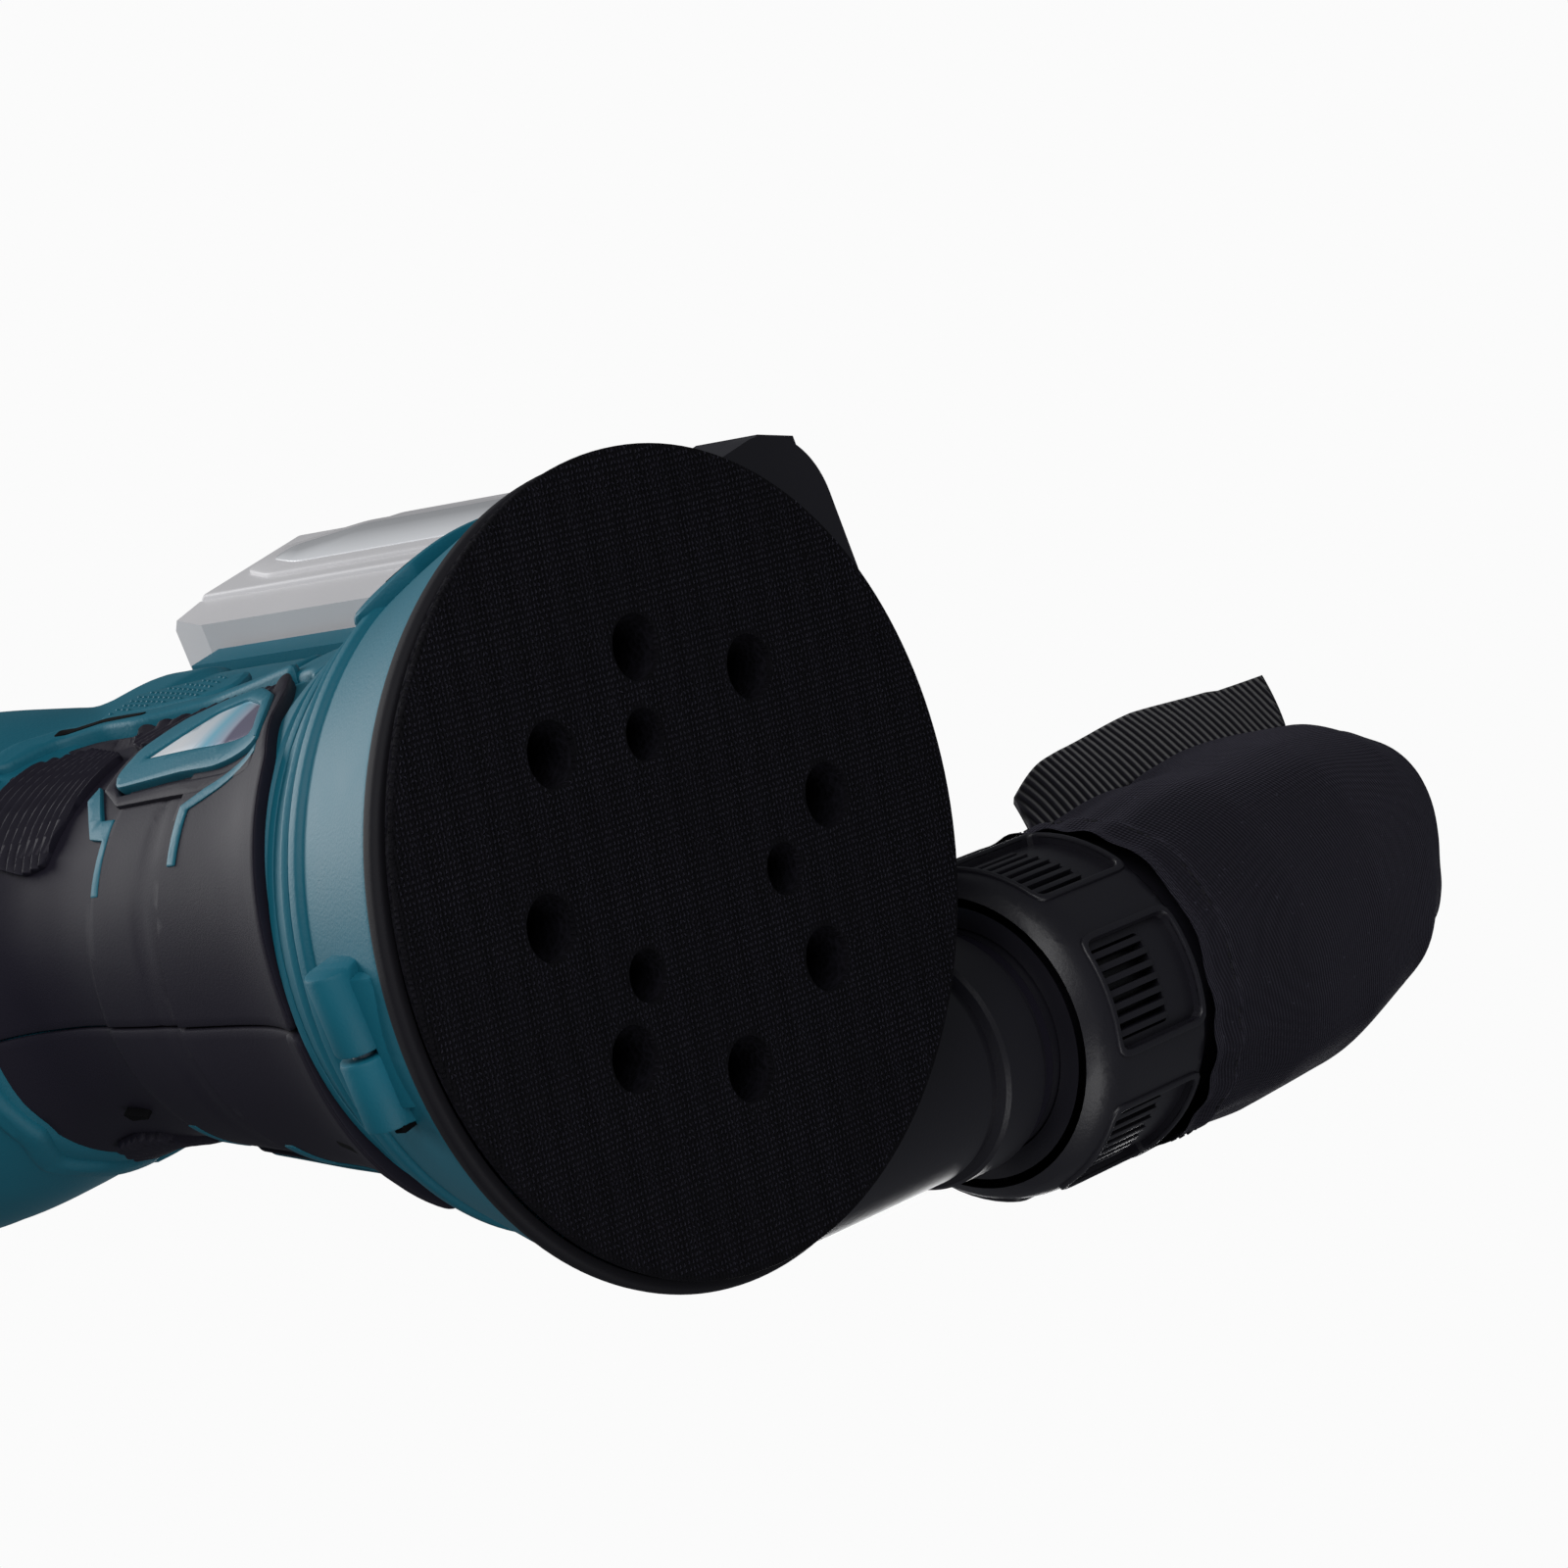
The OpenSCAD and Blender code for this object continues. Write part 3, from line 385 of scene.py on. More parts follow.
def make_materials(colours):
    """Makes every finish once. Each is named for what the real piece is made of, save the painted shade for recesses.
    """
    shell = tuple(colours.shell)
    skin = tuple(colours.skin)
    # ABS, moulded with an eroded grain: a satin blue-green with soft highlights.
    MATERIALS["shell"] = moulded("ABS_moulded_teal", shell, 0.56, grain=0.5, depth=0.05, IOR=1.45)
    # Thermoplastic elastomer, overmoulded: a dull violet black that greys towards the light.
    MATERIALS["skin"] = moulded("TPE_overmoulded_black", skin, 0.66, grain=0.4, depth=0.03, IOR=1.36)
    # Nitrile rubber lip, moulded: darker and duller than the skin.
    MATERIALS["lip"] = moulded("Nitrile_rubber_moulded", linear("#15141A"), 0.7, depth=0.03, IOR=1.34)
    # Glass-filled nylon, moulded: black with a sharper gloss on its edges.
    MATERIALS["black"] = moulded("Nylon_glass_filled_black", linear("#1E1D24"), 0.4, grain=0.6, depth=0.03)
    # Painted shade: the inside of vents and slots, which stays dark, is a near-black finish with little shine. It goes
    # on raised pieces that stand where the vents, slots, a groove and a hole are.
    MATERIALS["slot"] = moulded("Recess_painted_shade", linear("#08080A"), 0.8, depth=0.02)
    MATERIALS["slot"].node_tree.nodes["Principled BSDF"].inputs["Specular IOR Level"].default_value = 0.1
    # ABS with a pale grey tint, moulded: nearly white, with a clean satin face.
    MATERIALS["battery"] = moulded(
        "ABS_moulded_pale_grey", tuple(colours.battery), 0.5, depth=0.02, drift=0.03
    )
    # Label films.
    MATERIALS["badge"] = printed_film("Polycarbonate_badge_film", 52, 88, "#6A667C")
    MATERIALS["label"] = printed_film("Polycarbonate_battery_film", 40, 100, "#DFE3EA")
    # Woven polyester and its corded flap.
    MATERIALS["cloth"] = woven_cloth("Polyester_woven_brushed", tuple(colours.cloth), 0.7)
    MATERIALS["flap"] = ribbed_cloth("Webbing_corded_black", linear("#121117"), 2.0, math.radians(-12.8))
    # Hook fabric and its hooks: nylon, matt base with brighter cut hooks.
    MATERIALS["hook_base"] = hook_fabric("Nylon_woven_hook_ground", linear("#0D0C11"), PAD_TURN)
    MATERIALS["hooks"] = moulded("Nylon_cut_hooks", linear("#262530"), 0.5, drift=0.5, depth=0.01)
    MATERIALS["foam"] = open_foam("Polyurethane_foam_black", linear("#15141A"))
    # Metals.
    MATERIALS["steel"] = machined("Steel_ground", linear("#B9BCC2"), 0.28)
    MATERIALS["bracket"] = machined("Aluminium_diecast_turned", linear("#A5A8AD"), 0.42, groove=0.5)
    MATERIALS["laminate"] = stacked_laminate("Electrical_steel_laminated", linear("#7B7E85"))
    MATERIALS["copper"] = wound_copper("Copper_enamelled_wound", linear("#B8622B"))
    MATERIALS["magnet"] = machined("Neodymium_nickel_plated", linear("#8D9095"), 0.22)
    MATERIALS["terminal"] = machined("Brass_stamped", linear("#C9963F"), 0.3)
    # Polyamide fans, electronics and cells.
    MATERIALS["fan"] = moulded("Polyamide_moulded_natural", linear("#CFCAB8"), 0.45)
    MATERIALS["board"] = moulded(
        "Fibreglass_solder_mask_green", linear("#1C5A3C"), 0.3, grain=2.5, depth=0.05
    )
    MATERIALS["parts"] = moulded("Epoxy_component_black", linear("#2A2A2C"), 0.35)
    MATERIALS["cell"] = moulded("PVC_shrink_wrap_blue", linear("#2F6F9E"), 0.28, grain=3.0, depth=0.02)
    MATERIALS["red"] = moulded("ABS_moulded_red", linear("#B5332C"), 0.35)
    MATERIALS["grey"] = moulded("ABS_moulded_grey", linear("#4A4953"), 0.4)
    MATERIALS["latch"] = moulded("ABS_moulded_dark_red", linear("#8B2F2F"), 0.38)


SLOT_FINISH = {
    "teal_shell": "shell",
    "dark_rubber": "skin",
    "black_plastic": "black",
    "pad_hook": "hook_base",
    "foam": "foam",
    "badge_plate": "badge",
    "button_red": "red",
    "button_grey": "grey",
    "battery_shell": "battery",
    "battery_label": "label",
    "latch_red": "latch",
    "steel": "steel",
    "bracket": "bracket",
    "laminate": "laminate",
    "copper_wire": "copper",
    "magnet": "magnet",
    "fan_plastic": "fan",
    "circuit_board": "board",
    "board_part": "parts",
    "terminal": "terminal",
    "cell": "cell",
    "bag_cloth": "cloth",
    "bag_rib": "flap",
}


# ---------------------------------------------------------------- Mesh helpers


def piece(name, bm, finish, body, nodes=(), smooth=38):
    """Turns a finished bmesh into a piece that rides on a body and stands for its CAD nodes."""
    bmesh.ops.scale(bm, vec=(MM, MM, MM), verts=bm.verts)
    mesh = bpy.data.meshes.new(name)
    bm.to_mesh(mesh)
    bm.free()
    mesh.materials.append(MATERIALS[finish])
    mesh.shade_smooth()
    mesh.set_sharp_from_angle(angle=math.radians(smooth))
    made = bpy.data.objects.new(name, mesh)
    bpy.context.scene.collection.objects.link(made)
    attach(made, body)
    if nodes:
        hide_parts(*nodes)
    return made


def rounded(outline, radius, steps=3):
    """A closed outline with each corner turned into a short curve."""
    points = [Vector(p) for p in outline]
    result = []
    for i, corner in enumerate(points):
        before = points[i - 1] - corner
        after = points[(i + 1) % len(points)] - corner
        cut_in = min(radius, 0.4 * before.length)
        cut_out = min(radius, 0.4 * after.length)
        start = corner + before.normalized() * cut_in
        end = corner + after.normalized() * cut_out
        for k in range(steps + 1):
            t = k / steps
            result.append((1 - t) ** 2 * start + 2 * t * (1 - t) * corner + t**2 * end)
    return result


def turned(profile, steps=128, radius=0.0):
    """A closed ring turned round Z from a closed (radius, z) profile."""
    bm = bmesh.new()
    section = rounded(profile, radius) if radius else [Vector(p) for p in profile]
    verts = [bm.verts.new((p.x, 0, p.y)) for p in section]
    edges = [bm.edges.new((verts[i - 1], verts[i])) for i in range(len(verts))]
    bmesh.ops.spin(
        bm, geom=verts + edges, cent=(0, 0, 0), axis=(0, 0, 1), angle=math.tau, steps=steps, use_merge=True
    )
    bmesh.ops.remove_doubles(bm, verts=bm.verts, dist=1e-4)
    bmesh.ops.recalc_face_normals(bm, faces=bm.faces)
    return bm


def filled(loops, base=0.0):
    """Flat faces between closed loops in XY: the first is the outline, the others are holes."""
    bm = bmesh.new()
    edges = []
    for loop in loops:
        verts = [bm.verts.new((p[0], p[1], base)) for p in loop]
        edges += [bm.edges.new((verts[i - 1], verts[i])) for i in range(len(verts))]
    bmesh.ops.triangle_fill(bm, use_beauty=True, use_dissolve=False, edges=edges, normal=(0, 0, 1))
    for face in bm.faces:
        if face.normal.z < 0:
            face.normal_flip()
    return bm


def slice_up(bm, cell_x, cell_y, slants=()):
    """Cuts flat faces along a grid, so that they can follow a curve. Each slant is a point and a normal."""
    low = [min(v.co[k] for v in bm.verts) for k in (0, 1)]
    high = [max(v.co[k] for v in bm.verts) for k in (0, 1)]
    cuts = [((low[0] + cell_x * i, 0, 0), (1, 0, 0)) for i in range(1, int((high[0] - low[0]) / cell_x) + 1)]
    cuts += [((0, low[1] + cell_y * i, 0), (0, 1, 0)) for i in range(1, int((high[1] - low[1]) / cell_y) + 1)]
    for point, normal in cuts + list(slants):
        geom = bm.verts[:] + bm.edges[:] + bm.faces[:]
        bmesh.ops.bisect_plane(bm, geom=geom, dist=1e-4, plane_co=point, plane_no=normal)


def inset_loop(loop, distance):
    """The loop moved towards its own inside by a distance, with its sharp corners held back."""
    points = [Vector((p[0], p[1])) for p in loop]
    area = sum(a.cross(b) for a, b in zip(points[-1:] + points, points))
    side = math.copysign(1, area)
    moved = []
    for i, spot in enumerate(points):
        before = (spot - points[i - 1]).normalized()
        after = (points[(i + 1) % len(points)] - spot).normalized()
        normals = [Vector((-way.y, way.x)) * side for way in (before, after)]
        middle = (normals[0] + normals[1]).normalized()
        moved.append(spot + middle * distance / max(0.6, middle.dot(normals[0])))
    return moved


def raised(loops, base, height, lip):
    """A solid over closed loops in XY, with a rounded upper edge as wide as lip. The first is the outline."""
    rows = [
        (0, 0), (0, height - lip), (0.3 * lip, height - 0.35 * lip), (lip, height)
    ] if lip else [(0, 0), (0, height)]
    bm = bmesh.new()
    rims = [[], []]
    for index, loop in enumerate(loops):
        inward = 1 if index == 0 else -1
        rings = [
            [
                bm.verts.new((p.x, p.y, base + rise)) for p in inset_loop(loop, inward * inset)
            ] for inset, rise in rows
        ]
        for low, high in zip(rings, rings[1:]):
            for k in range(len(low)):
                bm.faces.new((low[k - 1], low[k], high[k], high[k - 1]))
        for rim, ring in zip(rims, (rings[0], rings[-1])):
            rim += [bm.edges.get((ring[k - 1], ring[k])) for k in range(len(ring))]
    for rim in rims:
        bmesh.ops.triangle_fill(bm, use_beauty=True, use_dissolve=False, edges=rim, normal=(0, 0, 1))
    bmesh.ops.recalc_face_normals(bm, faces=bm.faces)
    return bm


def bevel_all(bm, width, segments=2, limit=25):
    """Rounds every edge sharper than the limit."""
    edges = [e for e in bm.edges if len(e.link_faces) == 2 and e.calc_face_angle(0) > math.radians(limit)]
    bmesh.ops.bevel(
        bm, geom=edges, offset=width, segments=segments, profile=0.5, material=-1, affect="EDGES", clamp_overlap=True
    )


def mirrored(bm):
    """The same shape on the other side of the YZ plane."""
    bmesh.ops.scale(bm, vec=(-1, 1, 1), verts=bm.verts)
    bmesh.ops.reverse_faces(bm, faces=bm.faces)
    return bm


def merge_into(bm, other):
    """Adds another bmesh to this one."""
    mesh = bpy.data.meshes.new("part")
    other.to_mesh(mesh)
    other.free()
    bm.from_mesh(mesh)
    bpy.data.meshes.remove(mesh)
    return bm


def block(low, high, bevel=0.0):
    """A box between two corners, with rounded edges."""
    bm = bmesh.new()
    bmesh.ops.create_cube(bm, size=1)
    low, high = Vector(low), Vector(high)
    bmesh.ops.scale(bm, vec=high - low, verts=bm.verts)
    bmesh.ops.translate(bm, verts=bm.verts, vec=(low + high) / 2)
    if bevel:
        bevel_all(bm, bevel)
    return bm


def rod(radius, length, bevel=0.0, sides=40):
    """A round bar along Z from the origin."""
    bm = bmesh.new()
    bmesh.ops.create_cone(
        bm, cap_ends=True, segments=sides, radius1=radius, radius2=radius, depth=length,
        matrix=Matrix.Translation((0, 0, length / 2)),
    )
    if bevel:
        bevel_all(bm, bevel, limit=60)
    return bm


def cut_block(low, high, cuts, bevel):
    """A convex solid: a box cut by planes, each a point and an outward normal, with rounded edges."""
    bm = block(low, high)
    for point, normal in cuts:
        geom = bm.verts[:] + bm.edges[:] + bm.faces[:]
        cut = bmesh.ops.bisect_plane(
            bm, geom=geom, dist=1e-4, plane_co=point, plane_no=normal, clear_outer=True
        )["geom_cut"]
        bmesh.ops.edgeloop_fill(bm, edges=[g for g in cut if isinstance(g, bmesh.types.BMEdge)])
    bmesh.ops.recalc_face_normals(bm, faces=bm.faces)
    bevel_all(bm, bevel, segments=3, limit=8)
    return bm


# ---------------------------------------------------------------- Housing form

# Height, half-width, centre, front depth, rear depth and squareness of the rear, as in the CAD
BODY = (
    (42.2, 45.6, 0, 45, 45.6, 2.2),
    (48, 43, 0, 42.5, 43.4, 2.6),
    (53, 40, 0, 41.2, 42, 3),
    (60, 37.4, 0, 40.4, 41, 3.4),
    (72, 35.4, 0, 39.6, 39.6, 3.6),
    (86, 33, 0, 38.4, 38.8, 3.6),
    (99, 31.2, 0, 37.2, 38.4, 3.6),
    (112, 31, -2, 36.8, 38.8, 3.2),
    (124, 33, -5, 38.2, 40, 2.8),
    (136, 36.4, -8, 40.4, 41.5, 2.5),
    (148, 39, -11, 41.4, 41, 2.4),
    (159, 39.5, -13, 38.8, 37.6, 2.3),
    (167, 32, -13, 32, 31, 2.2),
    (170.6, 20, -13, 20, 20, 2.2),
)
FRONT_SQUARENESS = 2.25
SEAT_Y = 37  # flat at the back, where the battery rails are
SKIN_TOP = 119
BODY_FOOT = 42.2
PALM_FOOT = 159


def ease(low, high, value):
    """0 below low, 1 above high, and a smooth step between."""
    t = min(1.0, max(0.0, (value - low) / (high - low)))
    return t * t * (3 - 2 * t)


def body_row(z):
    """The housing's half-width, centre, depths and squareness at a height, on a smooth curve."""
    z = min(max(z, BODY[0][0]), BODY[-1][0])
    i = next(k for k in range(len(BODY) - 1) if z <= BODY[k + 1][0])
    before, low, high, after = BODY[max(i - 1, 0)], BODY[i], BODY[i + 1], BODY[min(i + 2, len(BODY) - 1)]
    span = high[0] - low[0]
    t = (z - low[0]) / span
    row = []
    for k in range(1, 6):
        start = (high[k] - before[k]) / (high[0] - before[0]) * span
        end = (after[k] - low[k]) / (after[0] - low[0]) * span
        row.append(
            (2 * t**3 - 3 * t**2 + 1) * low[k]
            + (t**3 - 2 * t**2 + t) * start
            + (3 * t**2 - 2 * t**3) * high[k]
            + (t**3 - t**2) * end
        )
    return row


def body_point(turn, z, lift=0.0):
    """A point on the housing: turn is in degrees from the front seam towards the right, lift is outwards."""
    width, centre, front, rear, square = body_row(z)
    c = math.cos(math.radians(turn - 90))
    s = math.sin(math.radians(turn - 90))
    n, depth = (FRONT_SQUARENESS, front) if s < 0 else (square, rear)
    r = ((abs(c) / width) ** n + (abs(s) / depth) ** n) ** (-1 / n)
    if s > 0:
        # The shoulder behind the rails is a box with rounded corners, wider at its tail
        half = 32 + 4 * (1 - ease(54, 64, z))
        seat = SEAT_Y - centre
        boxy = ((abs(c) / half) ** 9 + (s / seat) ** 9) ** (-1 / 9)
        r += max(0.0, boxy - r) * ease(43, 49, z) * (1 - ease(128, 134, z))
        if s > 0.2:
            flat = ease(45, 50, z) * (1 - ease(128, 136, z))
            r = min(r, (seat - lift) / s * flat + r * (1 - flat))
    return Vector(((r + lift) * c, centre + (r + lift) * s, z))


def wrap(bm, relief=None, floor=0.05):
    """Wraps a flat pattern round the housing. relief adds height to what stands above the floor."""
    for vert in bm.verts:
        turn, z, lift = vert.co.x / DEG, vert.co.y, vert.co.z
        if relief and lift > floor:
            lift += relief(turn, z)
        vert.co = body_point(turn, z, lift)


def panel(outlines, height, base=0.0, lip=0.5, corner=1.0, cell=(2.0, 2.0), slants=(), relief=None):
    """A raised panel on the housing. Outlines are (degrees, height) loops; the first is the edge, others are holes."""
    loops = [rounded([(a * DEG, z) for a, z in outline], corner) for outline in outlines]
    bm = raised(loops, base, height - base, lip)
    slice_up(bm, cell[0], cell[1], slants)
    wrap(bm, relief, floor=base + 0.5 * (height - base))
    return bm


def both_sides(name, build, finish, body="tool", nodes=None):
    """Makes a piece on the right and its mirror on the left."""
    piece(name + "_right", build(), finish, body, [nodes + "_right"] if nodes else ())
    piece(name + "_left", mirrored(build()), finish, body, [nodes + "_left"] if nodes else ())


# Groove and step lines round the skin: each is a point and a normal on the flat pattern
STEP_LOW = 72.5
STEP_HIGH = 91.0
STEP_LEAN = 0.1


def skin_relief(turn, z):
    """The skin steps down twice towards the head, and a shallow groove runs before each step."""
    level = z + STEP_LEAN * abs(turn) * DEG
    steps = 0.75 * (1 - ease(STEP_LOW, STEP_LOW + 0.7, level)) + 0.6 * (
        1 - ease(STEP_HIGH, STEP_HIGH + 0.7, level)
    )
    groove = 0.35 * math.exp(-(((level - STEP_LOW - 5) / 0.7) ** 2))
    waist = 0.3 * ease(102, 110, z) * (1 - ease(112, 118, z)) * (1 - ease(34, 44, turn))
    return steps - 0.55 - groove - waist


def skin_outline(gap):
    """The skin's edge on the right flank: low at the front, rising to a point, then up to the neck."""
    return [
        (gap, BODY_FOOT),
        (50, BODY_FOOT),
        (54, 44.5),
        (62, 48.8),
        (97, 70),
        (98, 89),
        (91, 104),
        (94, 113),
        (91, SKIN_TOP),
        (76, 122),
        (51, SKIN_TOP + 0.2),
        (39, SKIN_TOP + 1.3),
        (27, 116.7),
        (gap, SKIN_TOP),
    ]


def half_shell():
    """One teal half of the housing, from its foot to the palm, with a well for the buttons."""
    bm = bmesh.new()
    bmesh.ops.create_grid(bm, x_segments=100, y_segments=84, size=0.5)
    wells = []
    for vert in bm.verts:
        turn = 0.35 + (vert.co.x + 0.5) * 179.3
        z = BODY_FOOT + (vert.co.y + 0.5) * (PALM_FOOT + 0.3 - BODY_FOOT)
        in_well = turn < 25.5 and abs(z - 138) < 10.5 and (
            turn < 13 or math.hypot((turn - 13) * 0.85, z - 138) < 10.5
        )
        if in_well:
            wells.append(vert)
        vert.co = body_point(turn, z, 1.4 * ease(116, 118, z))
    bmesh.ops.delete(bm, geom=wells, context="VERTS")
    bmesh.ops.recalc_face_normals(bm, faces=bm.faces)
    return bm


def outward(bm, centre=(0, 0, 100)):
    """Turns an open shell's faces away from a point."""
    inside = sum((f.calc_center_median() - Vector(centre)).dot(f.normal) < 0 for f in bm.faces)
    if inside > len(bm.faces) / 2:
        bmesh.ops.reverse_faces(bm, faces=bm.faces)
    return bm


def make_shells():
    """Two moulded shells that meet at the front seam."""
    for side in ("right", "left"):
        bm = outward(half_shell())
        if side == "left":
            bm = mirrored(bm)
        shell = piece("shell_" + side, bm, "shell", "tool", ["housing_" + side])
        wall = shell.modifiers.new("Wall", "SOLIDIFY")
        wall.thickness = 2.4 * MM
        wall.offset = -1


def make_skins(sizes):
    """Soft overmoulded skin on both flanks, with its raised rim along the foot."""
    height = sizes.skin_height
    slants = [
        ((0, level, 0), (STEP_LEAN, 1, 0)) for k in (0, 0.35, 0.7) for level in (STEP_LOW + k, STEP_HIGH + k)
    ]

    def skin():
        return panel(
            [
                skin_outline(0.25)
            ], height, lip=0.5, corner=2.5, cell=(1.7, 1.7), slants=slants, relief=skin_relief
        )

    both_sides("skin", skin, "skin", nodes="overmould")

    def rim():
        outline = [
            (0.25, BODY_FOOT + 0.2),
            (50, BODY_FOOT + 0.2),
            (54, 44.7),
            (62, 49),
            (80, 59.8),
            (97.5, 70.6),
            (94, 71.4),
            (78, 62.8),
            (60, 52.4),
            (52, 48.4),
            (46, 46.9),
            (0.25, 46.7),
        ]
        return panel([outline], height + 1.1, base=0.2, lip=0.7, corner=2, cell=(1.7, 1.2))

    both_sides("skin_rim", rim, "skin")


def make_accents(sizes):
    """Teal lightning lines let into the skin."""
    height = sizes.skin_height + 0.2
    bolt = [
        (58, 99.4), (63, 98.6), (49.6, 91.6), (49.2, 87.8),
        (42.4, 87.4), (30, 87.2), (30, 89.2), (43.6, 89.2), (44.6, 93)
    ]
    fork = [(34, 68.6), (34, 66.6), (46, 66.2), (48.2, 61.8), (54, 49), (56, 50), (50.6, 63.4), (47.4, 68.4)]
    both_sides("accent_bolt", lambda: panel([bolt], height, lip=0.3, corner=0.3, cell=(2, 2)), "shell")
    both_sides("accent_fork", lambda: panel([fork], height + 0.9, lip=0.3, corner=0.3, cell=(2, 2)), "shell")


BADGE = [(66, 86.6), (63.5, 74), (62, 66), (60.5, 54.5), (66, 57.4), (73, 61), (79, 68), (78, 75), (74, 79)]
BEZEL = [
    (57, 89.6), (61.5, 92), (72, 91.5), (83, 86), (86, 78),
    (84.5, 68), (77, 60.6), (66, 54), (56, 48.8), (55, 63), (56, 72)
]


def make_badges(sizes):
    """A blank badge film on each flank, in a raised teal frame."""
    height = sizes.skin_height + 1.9
    both_sides(
        "badge_frame",
        lambda: panel([BEZEL, BADGE[::-1]], height, lip=0.6, corner=1.2, cell=(2, 2)),
        "shell",
    )
    both_sides(
        "badge_film",
        lambda: panel([BADGE], height - 0.55, lip=0.15, corner=1.0, cell=(2, 2)),
        "badge",
        nodes="badge",
    )
    # Dark step that the frame stands on
    ledge = [
        (52, 88), (59, 95), (74, 95.5), (82, 91), (70, 93), (60, 92),
        (55.5, 88.6), (54.5, 72), (53.5, 60), (54, 49.5), (51, 50), (50, 66)
    ]
    both_sides("badge_ledge", lambda: panel([ledge], sizes.skin_height + 1.0, lip=0.5, corner=0.6), "skin")


def ribbed_panel(outline, height, pitch, depth, bow=0.0, lean=0.0):
    """A panel whose ridges run round the body, one every pitch."""

    def ridge(turn, z):
        level = z + bow * (turn - 62) ** 2 + lean * turn
        return depth * abs(math.sin(math.pi * level / pitch))

    return panel(
        [outline], height, lip=0.25, corner=1.0, cell=(1.2 if lean else 3.2, pitch / 6), relief=ridge
    )


def make_grips(sizes):
    """Ribbed side grips and the louvres above the badge."""
    grip = [
        (42, 113), (60, 119), (74, 120.5), (82, 118), (87, 111),
        (78, 101), (60, 101.6), (40, 102.6), (38.5, 107)
    ]
    louvre = [
        (79, 96.5), (81, 100), (90, 104), (96, 91), (96, 84), (86.5, 66), (84.5, 67), (88.4, 80), (86, 89)
    ]
    both_sides(
        "side_grip", lambda: ribbed_panel(
            grip, sizes.skin_height + 0.1, sizes.grip_pitch, 0.9, bow=0.0035
        ), "skin"
    )
    both_sides("louvres", lambda: ribbed_panel(louvre, sizes.skin_height + 0.1, 3.0, 1.0, lean=0.35), "skin")


def make_flank_panels():
    """Raised teal shapes on the flanks, from the neck back to the battery."""
    bar = [
        (77, 122.5), (92.5, 119.5), (96, 113.5), (93, 104.5), (99.5, 90), (98.5, 70.5), (103, 72), (106, 90),
        (101.5, 104), (104, 114), (101, 122), (90, 127), (77, 127),
    ]
    cheek = [(103.5, 119), (105, 98), (111, 92.5), (122, 96), (122, 121)]
    tail = [(104.5, 90.5), (104.5, 84.5), (112, 80), (123, 80), (123, 92), (112, 88.5)]
    skirt = [(102, 76), (97, 66), (88, 60), (92, 57.5), (104, 62), (124, 62), (124, 77)]
    both_sides("flank_bar", lambda: panel([bar], 3.0, lip=0.9, corner=2, cell=(2, 2)), "shell")
    both_sides("flank_cheek", lambda: panel([cheek], 2.6, lip=1.2, corner=2.5, cell=(2, 2)), "shell")
    both_sides("flank_tail", lambda: panel([tail], 2.2, lip=1.0, corner=2, cell=(2, 2)), "shell")
    both_sides("flank_skirt", lambda: panel([skirt], 1.6, lip=0.8, corner=2, cell=(2, 2)), "shell")
    # Painted shade: a dark sheet raised on the flank where the scoop's hollow is.
    scoop = [(93.6, 121), (97.5, 121.6), (101, 114.5), (98.6, 105), (97, 105.4), (98.2, 114)]
    both_sides("flank_scoop_shade", lambda: panel([scoop], 3.15, lip=0.1, corner=0.6), "slot")
    # Stippled grip spots on each cheek: small domes every 1.6 mm
    def stipple():
        bm = bmesh.new()
        for i in range(11):
            for k in range(5):
                turn = 107.2 + k * 2.5 + (i % 2) * 1.25
                spot = body_point(turn, 99.5 + i * 1.75, 2.55)
                bmesh.ops.create_icosphere(bm, subdivisions=1, radius=0.42, matrix=Matrix.Translation(spot))
        return bm

    both_sides("flank_stipple", stipple, "shell")


def make_chin(sizes):
    """The head's teal lower edge, which stands over the neck, and painted shade for two short vents beside the front
    seam: dark raised sheets where the vents are.
    """
    edge = [
        (0.25, SKIN_TOP + 0.4), (27, 117.2), (39, SKIN_TOP + 1.6), (51, SKIN_TOP + 0.6), (75, 122.4),
        (75, 126), (51, 124), (39, 125), (27, 121.8), (0.25, 123.6),
    ]
    both_sides("chin", lambda: panel([edge], sizes.skin_height + 1.3, base=0.4, lip=1.2, corner=1.6), "shell")
    low = [(28.6, 52.4), (30.6, 52.4), (30, 45.6), (28, 45.6)]
    high = [(24.4, 100.5), (27.4, 100), (26.6, 95.6), (25.4, 95.8)]
    # Painted shade: each vent is a dark sheet raised on the skin, not an opening.
    for name, outline in (("neck_slot_low_shade", low), ("neck_slot_high_shade", high)):
        bm = mirrored(panel([outline], sizes.skin_height + 0.9, lip=0.1, corner=0.5))
        piece(name, bm, "slot", "tool")


